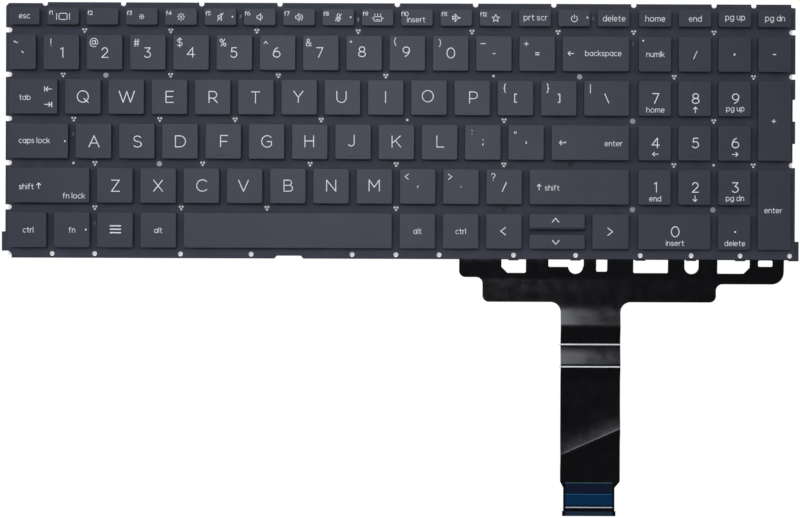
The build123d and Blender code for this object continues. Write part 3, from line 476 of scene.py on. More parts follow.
FUNCTION_ICONS = {
    "f1": "display", "f3": "small_sun", "f4": "large_sun", "f5": "speaker_off", "f6": "speaker_low",
    "f7": "speaker_high", "f8": "microphone_off", "f9": "key_light", "f11": "airplane", "f12": "star",
    "power": "power",
}
WORDS = {
    "esc": ("esc", 0, 0), "f10": ("insert", -0.4, -0.8), "print_screen": ("prt scr", 0.2, -0.1),
    "delete": ("delete", 0.2, 0), "home": ("home", 0, 0), "end": ("end", 0, 0), "page_up": ("pg up", 0, 0),
    "page_down": ("pg dn", 0, 0), "backspace": ("backspace", 3.1, 0), "num_lock": ("numlk", 0.1, 0),
    "tab": ("tab", -3.6, -0.3), "caps_lock": ("caps lock", -1.8, -0.1), "left_shift": ("shift", -9.8, -0.5),
    "enter": ("enter", 10, -0.3), "right_shift": ("shift", -11.7, -0.3), "left_ctrl": ("ctrl", 0.3, 0),
    "fn": ("fn", 0.1, 0), "left_alt": ("alt", 0, 0), "right_alt": ("alt", 0, 0), "right_ctrl": ("ctrl", 0, 0),
    "pad_enter": ("enter", -0.5, -0.2),
}
FUNCTION_WORDS = ("print_screen", "delete", "home", "end", "page_up", "page_down")
EXTRA_LEGENDS = {
    "tab": [("tab_back", "arrow", 6.4, 3.2), ("tab_forward", "arrow", 6.5, -3.5)],
    "caps_lock": [("light_dot", "light", 11.4, -0.1)],
    "left_shift": [("arrow_up", "arrow", -4.5, -0.2), ("fn lock", "word", 10.7, -4.4)],
    "enter": [("arrow_enter", "arrow", -12.1, 0)],
    "right_shift": [("arrow_up", "arrow", -17.4, 0)],
    "fn": [("light_dot", "light", 6.1, 0.1)],
    "system": [("menu", "menu", 0.2, 0.3)],
    "left_arrow": [("<", "digit", -0.4, 0.1)],
    "right_arrow": [(">", "digit", -0.2, 0)],
    "up_arrow": [("peak", "peak", -0.7, 0.8)],
    "down_arrow": [("valley", "peak", -0.6, -0.55)],
    "backspace": [("arrow_left", "arrow", -10.9, 0.2)],
    "num_lock": [("light_dot", "light", -5.2, 5.8)],
    "pad_divide": [("/", "symbol", 0.1, -0.3)],
    "pad_multiply": [("*", "symbol", -0.2, 0)],
    "pad_minus": [("-", "digit", -0.2, 0)],
    "pad_plus": [("+", "symbol", -0.4, 0)],
    "f5": [("light_dot", "light", 5.2, 0.1)],
    "f8": [("light_dot", "light", 5.3, 0.1)],
    "power": [("light_dot", "light", 5.6, 0.3)],
}
# The print stands a little off on every cap, and farther on these
PRINT_SHIFT = (0.05, -0.1)
PRINT_NUDGES = {
    "w": (0.3, 0), "e": (0.15, 0), "r": (0.2, 0), "t": (-0.2, -0.1), "y": (-0.4, 0.25), "u": (-0.45, 0.25),
    "i": (-0.1, 0.25), "o": (-0.55, 0.7), "p": (0.5, 0.2), "a": (0.25, -0.1), "s": (0.4, -0.15),
    "d": (0.2, 0), "f": (0.35, 0.2), "g": (0, 0.1), "h": (-0.25, 0.25), "j": (-0.75, 0.65), "k": (0, 0.25),
    "l": (0.25, 0.35),
    "1": (0.25, -0.15), "2": (0.15, -0.15), "3": (-0.1, -0.15), "4": (-0.1, 0.1), "5": (-0.2, 0.05),
    "6": (-0.4, 0.15), "7": (-0.5, 0.2), "8": (-0.95, 0.6), "9": (-0.55, 0.7), "0": (0.05, 0.2),
    "z": (0.3, -0.1), "c": (0.15, 0.15), "v": (-0.5, 0.1), "b": (0.15, 0.2), "n": (0, 0.3), "m": (-0.1, 0.45),
}


def key_legends(name):
    """The legends of one key."""
    found = [Legend(*row) for row in EXTRA_LEGENDS.get(name, [])]
    if len(name) == 1 and name.isalpha():
        found.append(Legend(name.upper(), "letter", 0, 0))
    if name in PAIRS:
        main, shifted = PAIRS[name]
        found.append(Legend(main, "digit" if main.isdigit() else "main", 0, 0))
        found.append(Legend(shifted, "symbol", *SYMBOL_PLACES.get(name, SYMBOL_PLACE)))
    if name in PAD_DIGITS:
        digit, word = PAD_DIGITS[name]
        found.append(Legend(digit, "digit" if digit.isdigit() else "light", *PAD_DIGIT_PLACE))
        if word:
            found.append(Legend(word, "arrow" if word in ICONS else "word", *PAD_WORD_PLACE))
    if name in WORDS:
        word, x, y = WORDS[name]
        found.append(Legend(word, "label" if name in FUNCTION_WORDS else "word", x, y))
    if name in FUNCTION_ICONS:
        icon = FUNCTION_ICONS[name]
        found.append(Legend(icon, "sun" if icon.endswith("sun") else "icon", 0, 0))
    if name.startswith("f") and name[1:].isdigit():
        found.append(Legend(name, "tiny", *FUNCTION_NUMBER_PLACE))
    return found


def print_style(style):
    """Height and line width of a kind of legend."""
    looks = bpy.context.scene.keyboard.prints
    sizes = {
        "letter": (looks.letter, looks.heavy_line),
        "digit": (looks.digit, looks.heavy_line),
        "main": (looks.symbol * 1.15, looks.heavy_line),
        "symbol": (looks.symbol, (looks.heavy_line + looks.fine_line) / 2),
        "word": (looks.word, looks.fine_line),
        "label": (looks.label, looks.fine_line),
        "icon": (looks.icon, looks.fine_line * 1.15),
        "peak": (looks.symbol * 0.55, looks.heavy_line),
        "sun": (looks.icon, looks.fine_line * 1.4),
        "arrow": (looks.word * 1.12, looks.fine_line * 1.4),
        "menu": (looks.icon * 1.4, looks.heavy_line * 1.4),
        "tiny": (looks.tiny, looks.fine_line),
        "light": (looks.light_dot, looks.light_dot),
    }
    return sizes[style]


# Node trees

def add(tree, kind, inputs=None, **settings):
    """Adds a node with its settings, and sets or links its inputs."""
    node = tree.nodes.new(kind)
    for name, value in settings.items():
        setattr(node, name, value)
    for name, value in (inputs or {}).items():
        if isinstance(value, bpy.types.NodeSocket):
            tree.links.new(value, node.inputs[name])
        else:
            node.inputs[name].default_value = value
    return node


def new_material(name):
    """A material with an empty tree, and its Object coordinates in metres."""
    material = bpy.data.materials.new(name)
    material.use_nodes = True
    tree = material.node_tree
    tree.nodes.clear()
    return material, tree, add(tree, "ShaderNodeTexCoord").outputs["Object"]


def per_metre(size):
    """The scale of a noise whose spots are about this wide."""
    return 1 / size


def shade(colour, factor):
    return tuple(min(1, part * factor) for part in colour) + (1,)


def ray_share(tree, *kinds):
    """1 for a ray of any of these kinds, and 0 for others."""
    path = add(tree, "ShaderNodeLightPath")
    share = path.outputs[kinds[0]]
    for kind in kinds[1:]:
        either = add(tree, "ShaderNodeMath", {0: share, 1: path.outputs[kind]}, operation="MAXIMUM")
        share = either.outputs["Value"]
    return share


def painted_abs():
    """Moulded ABS with a soft matt lacquer: a fine pebble and a broad, dull sheen."""
    looks = bpy.context.scene.keyboard.keycaps
    material, tree, place = new_material("painted_abs")
    pebble = add(tree, "ShaderNodeTexNoise", {"Vector": place, "Scale": per_metre(looks.grit), "Detail": 2})
    cloud = add(tree, "ShaderNodeTexNoise", {"Vector": place, "Scale": per_metre(22 * MM), "Detail": 3})
    tint = add(tree, "ShaderNodeValToRGB", {"Fac": cloud.outputs["Fac"]})
    for element, position, factor in zip(tint.color_ramp.elements, (0.3, 0.7), (0.92, 1.08)):
        element.position = position
        element.color = shade(looks.paint, factor)
    rough = add(tree, "ShaderNodeMapRange", {
        "Value": pebble.outputs["Fac"], "To Min": looks.roughness - 0.07, "To Max": looks.roughness + 0.07,
    })
    bump = add(tree, "ShaderNodeBump", {
        "Height": pebble.outputs["Fac"], "Strength": 0.12, "Distance": 0.05 * MM,
    })
    surface = add(tree, "ShaderNodeBsdfPrincipled", {
        "Base Color": tint.outputs["Color"], "Roughness": rough.outputs["Result"],
        "Normal": bump.outputs["Normal"], "IOR": 1.46,
    })
    add(tree, "ShaderNodeOutputMaterial", {"Surface": surface.outputs["BSDF"]})
    return material


def mottled(name, colour, roughness, mottle_size, detail=2, stops=(0.35, 0.65), shades=(0.93, 1.04),
            spread=0.06, stretch=(1, 1, 1), **finish):
    """A plain piece: an even colour with a faint mottle, which also varies its shine."""
    material, tree, place = new_material(name)
    stretched = add(tree, "ShaderNodeMapping", {"Vector": place, "Scale": stretch})
    mottle = add(tree, "ShaderNodeTexNoise", {
        "Vector": stretched.outputs["Vector"], "Scale": per_metre(mottle_size), "Detail": detail,
    })
    tint = add(tree, "ShaderNodeValToRGB", {"Fac": mottle.outputs["Fac"]})
    for element, position, factor in zip(tint.color_ramp.elements, stops, shades):
        element.position = position
        element.color = shade(colour, factor)
    rough = add(tree, "ShaderNodeMapRange", {
        "Value": mottle.outputs["Fac"], "To Min": roughness - spread, "To Max": roughness + spread,
    })
    surface = add(tree, "ShaderNodeBsdfPrincipled", {
        "Base Color": tint.outputs["Color"], "Roughness": rough.outputs["Result"], **finish,
    })
    add(tree, "ShaderNodeOutputMaterial", {"Surface": surface.outputs["BSDF"]})
    return material


def printed_film():
    """PET film with a dark screen-printed back: smooth, slightly mottled and half gloss."""
    return mottled(
        "printed_film", bpy.context.scene.keyboard.sheets.film, 0.57, 9 * MM, detail=4, stops=(0.32, 0.68),
        shades=(0.85, 1.12), spread=0.07, **{"IOR": 1.57, "Specular IOR Level": 0.2},
    )


def black_steel():
    """Stamped steel with a dark electro-coat: satin, with a faint roll grain along X."""
    return mottled(
        "black_steel", bpy.context.scene.keyboard.sheets.plate, 0.41, 0.5 * MM, detail=3, stops=(0, 1),
        shades=(0.8, 1.25), spread=0.09, stretch=(0.05, 1, 1),
    )


def gloss_film():
    """Black PET ribbon: a clear gloss that shows light as soft-edged bands, with a few specks of dust."""
    looks = bpy.context.scene.keyboard.tail
    material, tree, place = new_material("gloss_film")
    haze = add(tree, "ShaderNodeTexNoise", {"Vector": place, "Scale": per_metre(5 * MM), "Detail": 4})
    rough = add(tree, "ShaderNodeMapRange", {
        "Value": haze.outputs["Fac"], "From Min": 0.3, "From Max": 0.7,
        "To Min": looks.roughness - 0.03, "To Max": looks.roughness + 0.05,
    })
    specks = add(tree, "ShaderNodeTexVoronoi", {"Vector": place, "Scale": per_metre(5 * MM)})
    dust = add(tree, "ShaderNodeValToRGB", {"Fac": specks.outputs["Distance"]})
    for element, position, factor in zip(dust.color_ramp.elements, (0.03, 0.05), (12, 1)):
        element.position = position
        element.color = shade(looks.ribbon, factor)
    buckle = add(tree, "ShaderNodeTexNoise", {"Vector": place, "Scale": per_metre(20 * MM), "Detail": 1})
    bump = add(tree, "ShaderNodeBump", {
        "Height": buckle.outputs["Fac"], "Strength": 0.15, "Distance": 0.4 * MM,
    })
    surface = add(tree, "ShaderNodeBsdfPrincipled", {
        "Base Color": dust.outputs["Color"], "Roughness": rough.outputs["Result"],
        "Normal": bump.outputs["Normal"], "IOR": 1.57,
    })
    add(tree, "ShaderNodeOutputMaterial", {"Surface": surface.outputs["BSDF"]})
    return material


# Bands of the stiffener from the tail's end, as far edges in millimetres and colours
STIFFENER_BANDS = [
    (2.0, "#1d3040"), (3.55, "#05080c"), (3.95, "#c3cdd8"), (4.9, "#0a1f35"), (9.35, "#033056"),
    (9.6, "#2a6288"), (14.3, "#0e1a30"), (14.8, "#46707f"),
]
STIFFENER_BLUE_HALF = 10.2
STIFFENER_MARGIN = "#07090d"


def stiffener_film():
    """Polyimide stiffener: smooth blue film over tinned contacts, printed in bands across."""
    material, tree, place = new_material("stiffener_film")
    low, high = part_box("tail_stiffener")
    split = add(tree, "ShaderNodeSeparateXYZ", {"Vector": place})
    share = add(tree, "ShaderNodeMapRange", {
        "Value": split.outputs["Y"], "From Min": low.y, "From Max": high.y,
    })
    bands = add(tree, "ShaderNodeValToRGB", {"Fac": share.outputs["Result"]})
    bands.color_ramp.interpolation = "CONSTANT"
    edge = 0
    for count, (far_edge, hex_code) in enumerate(STIFFENER_BANDS):
        place_share = edge * MM / (high.y - low.y)
        if count < 2:
            element = bands.color_ramp.elements[count]
            element.position = place_share
        else:
            element = bands.color_ramp.elements.new(place_share)
        element.color = linear(hex_code) + (1,)
        edge = far_edge
    inside = add(tree, "ShaderNodeMath", {
        0: split.outputs["X"], 1: (low.x + high.x) / 2, 2: STIFFENER_BLUE_HALF * MM,
    }, operation="COMPARE")
    print_colour = add(tree, "ShaderNodeMixRGB", {
        "Fac": inside.outputs["Value"], "Color1": linear(STIFFENER_MARGIN) + (1,),
        "Color2": bands.outputs["Color"],
    })
    sheen = add(tree, "ShaderNodeTexNoise", {"Vector": place, "Scale": per_metre(3 * MM), "Detail": 3})
    rough = add(tree, "ShaderNodeMapRange", {"Value": sheen.outputs["Fac"], "To Min": 0.24, "To Max": 0.36})
    surface = add(tree, "ShaderNodeBsdfPrincipled", {
        "Base Color": print_colour.outputs["Color"], "Roughness": rough.outputs["Result"], "IOR": 1.6,
        "Specular IOR Level": 0.12,
    })
    add(tree, "ShaderNodeOutputMaterial", {"Surface": surface.outputs["BSDF"]})
    return material


# How much of the paper's white is its own glow, in the open and under the plate, where less glow is a painted
# shade
OPEN_WHITE = 0.9
PAINTED_SHADE_WHITE = 0.2
SHADE_INSET = 0.9 * MM


def backdrop_paper():
    """White paper, mostly its own glowing white to the eye, but under the plate its glow is cut, a painted
    shade, and plain lit paper shows the real shade there.
    """
    looks = bpy.context.scene.keyboard.stage
    material, tree, place = new_material("backdrop_paper")
    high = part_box("upper_circuit_film")[1]
    split = add(tree, "ShaderNodeSeparateXYZ", {"Vector": place})
    inside = [
        add(tree, "ShaderNodeMath", {
            0: split.outputs[axis], 1: 0, 2: half - SHADE_INSET,
        }, operation="COMPARE")
        for axis, half in (("X", high.x), ("Y", high.y))
    ]
    # Painted shade: the paper glows less inside the plate's outline
    painted_shade_under_plate = add(tree, "ShaderNodeMath", {
        0: inside[0].outputs["Value"], 1: inside[1].outputs["Value"],
    }, operation="MULTIPLY")
    share = add(tree, "ShaderNodeMapRange", {
        "Value": painted_shade_under_plate.outputs["Value"], "To Min": OPEN_WHITE, "To Max": PAINTED_SHADE_WHITE,
    })
    seen = ray_share(tree, "Is Camera Ray", "Is Glossy Ray", "Is Transmission Ray")
    own_white = add(tree, "ShaderNodeMath", {0: seen, 1: share.outputs["Result"]}, operation="MULTIPLY")
    paper = add(tree, "ShaderNodeBsdfDiffuse", {"Color": shade(looks.backdrop, 0.9)})
    white = add(tree, "ShaderNodeEmission", {"Color": shade(looks.backdrop, 1), "Strength": 1.06})
    mixed = add(tree, "ShaderNodeMixShader", {
        0: own_white.outputs["Value"], 1: paper.outputs["BSDF"], 2: white.outputs["Emission"],
    })
    add(tree, "ShaderNodeOutputMaterial", {"Surface": mixed.outputs["Shader"]})
    return material


# Round tips stand over the strip, the last one higher, so that a dot's two tips share no face
FIRST_TIP_RISE = 1.2
LAST_TIP_RISE = 1.5
TIP_SIDES = 12


@functools.cache
def stroke_tree():
    """Sweeps flat lines along curves and rounds their ends. A curve's radius is half its line's width."""
    tree = bpy.data.node_groups.new("printed_strokes", "GeometryNodeTree")
    sockets = {}
    for name, kind in (("Geometry", "Geometry"), ("Thickness", "Float"), ("Ink", "Material")):
        sockets[name] = tree.interface.new_socket(name, in_out="INPUT", socket_type=f"NodeSocket{kind}")
    tree.interface.new_socket("Geometry", in_out="OUTPUT", socket_type="NodeSocketGeometry")
    given = add(tree, "NodeGroupInput")
    radius = add(tree, "GeometryNodeInputRadius")
    upright = add(tree, "GeometryNodeSetCurveNormal", {"Curve": given.outputs["Geometry"]}, mode="Z_UP")
    section = add(tree, "GeometryNodeCurvePrimitiveQuadrilateral", {
        "Width": 2.0, "Height": given.outputs["Thickness"],
    })
    swept = add(tree, "GeometryNodeCurveToMesh", {
        "Curve": upright.outputs["Curve"], "Profile Curve": section.outputs["Curve"],
        "Scale": radius.outputs["Radius"], "Fill Caps": True,
    })
    joined = add(tree, "GeometryNodeJoinGeometry", {"Geometry": swept.outputs["Mesh"]})
    for first, last, rise in ((1, 0, FIRST_TIP_RISE), (0, 1, LAST_TIP_RISE)):
        proud = add(tree, "ShaderNodeMath", {0: given.outputs["Thickness"], 1: rise}, operation="MULTIPLY")
        tip = add(tree, "GeometryNodeMeshCylinder", {
            "Vertices": TIP_SIDES, "Radius": 1.0, "Depth": proud.outputs["Value"],
        })
        end = add(tree, "GeometryNodeCurveEndpointSelection", {"Start Size": first, "End Size": last})
        tips = add(tree, "GeometryNodeInstanceOnPoints", {
            "Points": upright.outputs["Curve"], "Selection": end.outputs["Selection"],
            "Instance": tip.outputs["Mesh"], "Scale": radius.outputs["Radius"],
        })
        tree.links.new(tips.outputs["Instances"], joined.inputs["Geometry"])
    real = add(tree, "GeometryNodeRealizeInstances", {"Geometry": joined.outputs["Geometry"]})
    inked = add(tree, "GeometryNodeSetMaterial", {
        "Geometry": real.outputs["Geometry"], "Material": given.outputs["Ink"],
    })
    add(tree, "NodeGroupOutput", {"Geometry": inked.outputs["Geometry"]})
    return tree, {name: socket.identifier for name, socket in sockets.items()}


# Building pieces

def link(piece):
    bpy.context.scene.collection.objects.link(piece)
    return piece


def swept_piece(name, strokes, thickness, material):
    """A mesh of flat lines. Each stroke is (points in metres, line width)."""
    curve = bpy.data.curves.new(name, "CURVE")
    curve.dimensions = "3D"
    for points, width in strokes:
        closed = len(points) > 3 and (Vector(points[0]) - Vector(points[-1])).length < 1e-7
        points = points[:-1] if closed else points
        spline = curve.splines.new("POLY")
        spline.points.add(len(points) - 1)
        for point, place in zip(spline.points, points):
            point.co = (*place, 1)
            point.radius = width / 2
        spline.use_cyclic_u = closed
    lines = link(bpy.data.objects.new(name + "_lines", curve))
    tree, identifiers = stroke_tree()
    modifier = lines.modifiers.new("printed_strokes", "NODES")
    modifier.node_group = tree
    modifier[identifiers["Thickness"]] = thickness
    modifier[identifiers["Ink"]] = material
    evaluated = lines.evaluated_get(bpy.context.evaluated_depsgraph_get())
    mesh = bpy.data.meshes.new_from_object(evaluated)
    bpy.data.objects.remove(lines)
    bpy.data.curves.remove(curve)
    mesh.name = name
    return link(bpy.data.objects.new(name, mesh))


PRINT_THICKNESS = 0.1
PRINT_LIFT = 0.012 * MM
# Runs that cross or meet lie this much over each other, so that no two faces share a plane
RUN_STEP = 0.004 * MM
RUN_LEVELS = 8


def legend_strokes(name):
    """The printed lines of one key, in place on its cap."""
    cap = CAPS[name]
    middle = (cap.low + cap.high) / 2
    across, up = np.add(PRINT_SHIFT, PRINT_NUDGES.get(name, (0, 0)))
    strokes = []
    for legend in key_legends(name):
        height, width = print_style(legend.style)
        left = middle.x + (legend.x + across) * MM
        low = middle.y + (legend.y + up) * MM
        for stroke in text_strokes(legend.text):
            for run in split_at_corners(stroke):
                z = CAP_TOP + PRINT_LIFT + len(strokes) % RUN_LEVELS * RUN_STEP
                strokes.append(([(left + x * height, low + y * height, z) for x, y in run], width))
    return strokes


def paint_node(node, material):
    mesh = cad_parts[node].data
    mesh.materials.clear()
    mesh.materials.append(material)


class KEYBOARD_OT_keycaps(bpy.types.Operator):
    """Paint the keycaps"""

    bl_idname = "keyboard.keycaps"
    bl_label = "Keycaps"

    def execute(self, context):
        paint = painted_abs()
        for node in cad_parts:
            if node == FIXED_CAPS or node.startswith(TYPING_PREFIX):
                paint_node(node, paint)
        return {"FINISHED"}


class KEYBOARD_OT_legends(bpy.types.Operator):
    """Print the letters, words and icons on the caps"""

    bl_idname = "keyboard.legends"
    bl_label = "Legends"

    def execute(self, context):
        # Pad-printing ink: a dense, even white that is half matt
        ink = mottled("pad_print_ink", context.scene.keyboard.prints.ink, 0.5, 1.5 * MM, IOR=1.5)
        fixed = []
        for name, cap in CAPS.items():
            strokes = legend_strokes(name)
            if cap.body == "base":
                fixed += strokes
            elif strokes:
                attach(swept_piece(f"legend_{name}", strokes, PRINT_THICKNESS, ink), cap.body)
        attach(swept_piece("legends_fixed_keys", fixed, PRINT_THICKNESS, ink), "base")
        return {"FINISHED"}


# Unprinted spots of film over holes of the plate, painted grey as a painted shade of the holes: keys on their
# left and right, above and below
CLEAR_SPOTS_PAINTED_SHADE = [
    ("q", "w", "2", "w"), ("right_bracket", "backslash", "backspace", "backslash"),
    ("backslash", "pad_7", "backslash", "enter"), ("s", "d", "s", "x"),
    ("right_shift", "pad_1", "right_shift", "right_arrow"), ("pad_2", "pad_3", "pad_3", "pad_decimal"),
]


# Spots of dark ink on the upper film, in millimetres
DARK_SPOTS = [(45.1, -33.6), (73.9, -14.1)]
DISC_SIDES = 32


def disc_piece(name, places, radius, z, material):
    """Thin discs that lie on a sheet."""
    shape = bmesh.new()
    for x, y in places:
        spot = Matrix.Translation((x, y, z + PRINT_LIFT))
        bmesh.ops.create_cone(
            shape, cap_ends=True, segments=DISC_SIDES, radius1=radius, radius2=radius * 0.97,
            depth=PRINT_LIFT, matrix=spot,
        )
    mesh = bpy.data.meshes.new(name)
    shape.to_mesh(mesh)
    shape.free()
    mesh.materials.append(material)
    return link(bpy.data.objects.new(name, mesh))


class KEYBOARD_OT_plate_and_films(bpy.types.Operator):
    """Finish the plate, the circuit films and the indicator lights"""

    bl_idname = "keyboard.plate_and_films"
    bl_label = "Plate and films"

    def execute(self, context):
        looks = context.scene.keyboard.sheets
        paint_node("base_plate", black_steel())
        film = printed_film()
        for node in ("lower_circuit_film", "spacer_film", "upper_circuit_film"):
            paint_node(node, film)
        # Cast epoxy of unlit lights: smooth, dark and a little shiny
        paint_node("indicator_leds", mottled("led_epoxy", linear("#4a4c52"), 0.3, 0.6 * MM, IOR=1.5))
        # Unprinted PET film: smooth, and painted grey, a painted shade of the hole under it, which would show
        # through clear film
        clear = mottled("clear_film", looks.clear_spot_painted_shade, 0.3, 0.7 * MM, IOR=1.57)
        film_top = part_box("upper_circuit_film")[1].z
        spots = [gap_spot(*keys) for keys in CLEAR_SPOTS_PAINTED_SHADE]
        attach(disc_piece("clear_film_spots", spots, looks.spot_radius, film_top, clear), "base")
        # Screen-printing ink: a dense, half matt black
        dark = mottled("black_ink", looks.spot_ink, 0.5, 0.7 * MM, IOR=1.5)
        spots = [(x * MM, y * MM) for x, y in DARK_SPOTS]
        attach(disc_piece("dark_film_spots", spots, looks.spot_radius, film_top, dark), "base")
        return {"FINISHED"}


def node_triangles(node):
    """A node's corner points as an array of triangles, and the triangles' middles."""
    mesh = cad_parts[node].data
    mesh.calc_loop_triangles()
    places = np.empty(len(mesh.vertices) * 3)
    mesh.vertices.foreach_get("co", places)
    corners = np.empty(len(mesh.loop_triangles) * 3, int)
    mesh.loop_triangles.foreach_get("vertices", corners)
    triangles = places.reshape(-1, 3)[corners].reshape(-1, 3, 3)
    return triangles, triangles.mean(1)


def under_cap(triangles, middles, cap):
    """The triangles that lie under a cap."""
    inside = np.all((middles[:, :2] > cap.low.xy) & (middles[:, :2] < cap.high.xy), axis=1)
    return triangles[inside]


SMOOTH_BELOW = math.radians(40)


def spring_piece(name, shapes, materials):
    """One mesh of domes and links, merged from their solids' triangles."""
    triangles = np.concatenate(shapes)
    places, corners = np.unique(np.round(triangles.reshape(-1, 3), 8), axis=0, return_inverse=True)
    mesh = bpy.data.meshes.new(name)
    mesh.from_pydata(places.tolist(), [], corners.reshape(-1, 3).tolist())
    for material in materials:
        mesh.materials.append(material)
    slots = np.repeat(np.arange(len(shapes)), [len(shape) for shape in shapes])
    mesh.polygons.foreach_set("material_index", slots.astype(np.int32))
    mesh.polygons.foreach_set("use_smooth", np.ones(len(mesh.polygons), bool))
    mesh.set_sharp_from_angle(angle=SMOOTH_BELOW)
    return link(bpy.data.objects.new(name, mesh))


class KEYBOARD_OT_springs(bpy.types.Operator):
    """Put a dome and scissor links under every cap"""

    bl_idname = "keyboard.springs"
    bl_label = "Domes and links"

    def execute(self, context):
        looks = context.scene.keyboard.sheets
        # Moulded silicone rubber is grey and dull, and moulded acetal dark and waxy
        materials = [
            mottled("silicone_rubber", looks.rubber, 0.6, 1.2 * MM, IOR=1.41),
            mottled("acetal", looks.links, 0.4, 2 * MM, IOR=1.48),
        ]
        nodes = ("rubber_domes", "scissor_links")
        sources = [node_triangles(node) for node in nodes]
        fixed = [[], []]
        for name, cap in CAPS.items():
            shapes = [under_cap(*source, cap) for source in sources]
            if cap.body == "base":
                for kept, shape in zip(fixed, shapes):
                    kept.append(shape)
                continue
            springs = spring_piece(f"springs_{name}", shapes, materials)
            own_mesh(springs)
            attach(springs, "base")
            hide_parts(*nodes)
        springs = spring_piece("springs_fixed_keys", [np.concatenate(kept) for kept in fixed], materials)
        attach(springs, "base")
        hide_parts(*nodes)
        return {"FINISHED"}


# White lines across the ribbon, as reaches from the plate's front edge in millimetres
RIBBON_LINES = (36.85, 46.5)
RIBBON_HALF_WIDTH = 13.0 * MM
PLATE_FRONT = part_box("upper_circuit_film")[0].y - 0.3 * MM


class KEYBOARD_OT_tail(bpy.types.Operator):
    """Finish the film tail, its lines and its stiffened end"""

    bl_idname = "keyboard.tail"
    bl_label = "Tail"

    def execute(self, context):
        looks = context.scene.keyboard.tail
        paint_node("ribbon_tail", gloss_film())
        paint_node("tail_stiffener", stiffener_film())
        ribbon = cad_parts["ribbon_tail"].data
        surface = BVHTree.FromPolygons(
            [vertex.co for vertex in ribbon.vertices], [polygon.vertices for polygon in ribbon.polygons]
        )
        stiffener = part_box("tail_stiffener")
        middle = (stiffener[0].x + stiffener[1].x) / 2
        strokes = []
        for reach in RIBBON_LINES:
            y = PLATE_FRONT - reach * MM
            hit, *_ = surface.ray_cast(Vector((middle, y, 1)), Vector((0, 0, -1)))
            ends = [(middle + side * RIBBON_HALF_WIDTH, y, hit.z + PRINT_LIFT) for side in (-1, 1)]
            strokes.append((ends, looks.line_width))
        # Screen-printing ink on the ribbon: a bright, half matt white
        ink = mottled("ribbon_ink", looks.line, 0.45, 1.5 * MM, IOR=1.5)
        lines = swept_piece("ribbon_lines", strokes, PRINT_THICKNESS, ink)
        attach(lines, "base")
        return {"FINISHED"}


# The camera looks straight down and is turned a little
CAMERA_TURN = math.radians(0.21)
CAMERA_SPOT = (0.02 * MM, -55.55 * MM)
SENSOR_WIDTH = 36.0
Lamp = namedtuple("Lamp", "name place aim size colour shows_in_gloss")
LAMPS = [
    Lamp("softbox", (-0.045, 0.085, 0.75), (-0.045, 0.085, 0), (0.36, 0.16), "#f2f5ff", True),
    Lamp("key", (-0.65, 0.95, 2.4), (0, 0, 0), (0.9, 0.9), "#ffffff", False),
    Lamp("side", (-2.0, 0.5, 1.5), (0, 0, 0), (0.7, 0.7), "#ffffff", False),
    Lamp("fill", (0.6, -0.7, 0.4), (0, -0.03, 0), (0.5, 0.25), "#ffffff", True),
]
FLOOR_HALF = 3.0
FLOOR_DROP = 0.02 * MM


def area_light(lamp, power):
    light = bpy.data.lights.new(lamp.name, "AREA")
    light.color = linear(lamp.colour)
    light.shape = "RECTANGLE"
    light.size, light.size_y = lamp.size
    light.energy = power
    source = link(bpy.data.objects.new(lamp.name, light))
    source.visible_glossy = lamp.shows_in_gloss
    source.location = lamp.place
    source.rotation_euler = (Vector(lamp.aim) - Vector(lamp.place)).to_track_quat("-Z", "Y").to_euler()


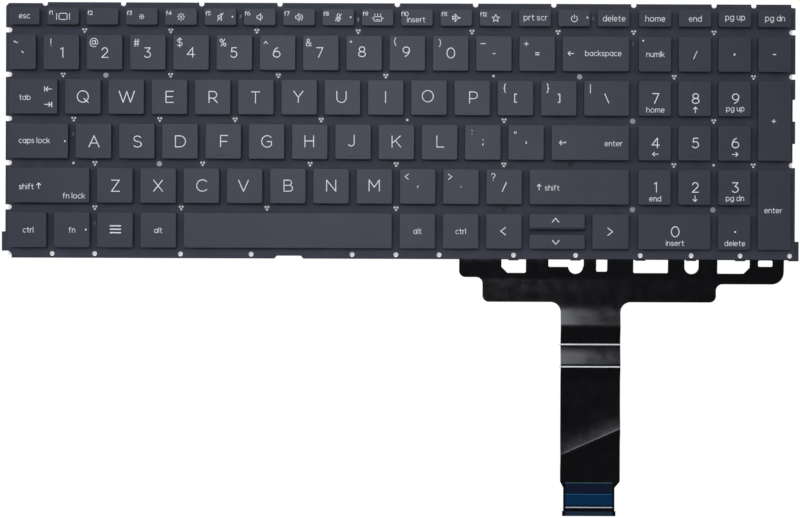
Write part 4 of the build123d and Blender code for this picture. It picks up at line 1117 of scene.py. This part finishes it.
class KEYBOARD_OT_stage(bpy.types.Operator):
    """Set the floor, the lights and the camera"""

    bl_idname = "keyboard.stage"
    bl_label = "Stage"

    def execute(self, context):
        looks = context.scene.keyboard.stage
        scene = context.scene
        scene.view_settings.view_transform = "Standard"
        mesh = bpy.data.meshes.new("floor")
        low = CAD_BOX[0].z - FLOOR_DROP
        corners = [(-1, -1), (1, -1), (1, 1), (-1, 1)]
        mesh.from_pydata([(x * FLOOR_HALF, y * FLOOR_HALF, low) for x, y in corners], [], [(0, 1, 2, 3)])
        mesh.materials.append(backdrop_paper())
        link(bpy.data.objects.new("floor", mesh))

        for lamp in LAMPS:
            area_light(lamp, getattr(looks, lamp.name))

        world = bpy.data.worlds.new("studio")
        world.use_nodes = True
        tree = world.node_tree
        tree.nodes.clear()
        direction = add(tree, "ShaderNodeSeparateXYZ", {
            "Vector": add(tree, "ShaderNodeTexCoord").outputs["Generated"],
        })
        overhead = add(tree, "ShaderNodeMapRange", {
            "Value": direction.outputs["Z"], "From Min": 0.3, "From Max": 0.7,
            "To Min": 1, "To Max": looks.ceiling,
        })
        soft, mirrored_room, white = [
            add(tree, "ShaderNodeBackground", {"Color": shade(looks.backdrop, 1), "Strength": strength})
            for strength in (looks.ambient, overhead.outputs["Result"], 1.0)
        ]
        by_gloss = add(tree, "ShaderNodeMixShader", {
            0: ray_share(tree, "Is Glossy Ray", "Is Transmission Ray"), 1: soft.outputs["Background"],
            2: mirrored_room.outputs["Background"],
        })
        mixed = add(tree, "ShaderNodeMixShader", {
            0: ray_share(tree, "Is Camera Ray"), 1: by_gloss.outputs["Shader"],
            2: white.outputs["Background"],
        })
        output = add(tree, "ShaderNodeOutputWorld", {"Surface": mixed.outputs["Shader"]})
        output.is_active_output = True
        scene.world = world

        camera = bpy.data.cameras.new("camera")
        camera.sensor_width = SENSOR_WIDTH
        camera.lens = SENSOR_WIDTH * looks.camera_height / looks.view_width
        view = link(bpy.data.objects.new("camera", camera))
        view.location = (*CAMERA_SPOT, looks.camera_height)
        view.rotation_euler = (0, 0, CAMERA_TURN)
        scene.camera = view
        return {"FINISHED"}


OPERATORS = (
    KEYBOARD_OT_keycaps, KEYBOARD_OT_plate_and_films, KEYBOARD_OT_springs, KEYBOARD_OT_tail,
    KEYBOARD_OT_legends, KEYBOARD_OT_stage,
)


class KEYBOARD_PT_panel(bpy.types.Panel):
    """The keyboard's looks and the operators that build them"""

    bl_idname = "KEYBOARD_PT_panel"
    bl_label = "Laptop keyboard"
    bl_space_type = "VIEW_3D"
    bl_region_type = "UI"
    bl_category = "Keyboard"

    def draw(self, context):
        for group in ("keycaps", "prints", "sheets", "tail", "stage"):
            box = self.layout.box()
            looks = getattr(context.scene.keyboard, group)
            for name in looks.bl_rna.properties.keys():
                if name not in ("rna_type", "name"):
                    box.prop(looks, name)
        for operator in OPERATORS:
            self.layout.operator(operator.bl_idname)


CLASSES = (
    KeycapLooks, PrintLooks, SheetLooks, TailLooks, StageLooks, KeyboardLooks, *OPERATORS, KEYBOARD_PT_panel,
)


def register():
    for item in CLASSES:
        bpy.utils.register_class(item)
    bpy.types.Scene.keyboard = bpy.props.PointerProperty(type=KeyboardLooks)


def unregister():
    del bpy.types.Scene.keyboard
    for item in reversed(CLASSES):
        bpy.utils.unregister_class(item)


def main():
    register()
    bpy.ops.keyboard.keycaps()
    bpy.ops.keyboard.plate_and_films()
    bpy.ops.keyboard.springs()
    bpy.ops.keyboard.tail()
    bpy.ops.keyboard.legends()
    bpy.ops.keyboard.stage()
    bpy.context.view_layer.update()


if __name__ == "__main__":
    main()
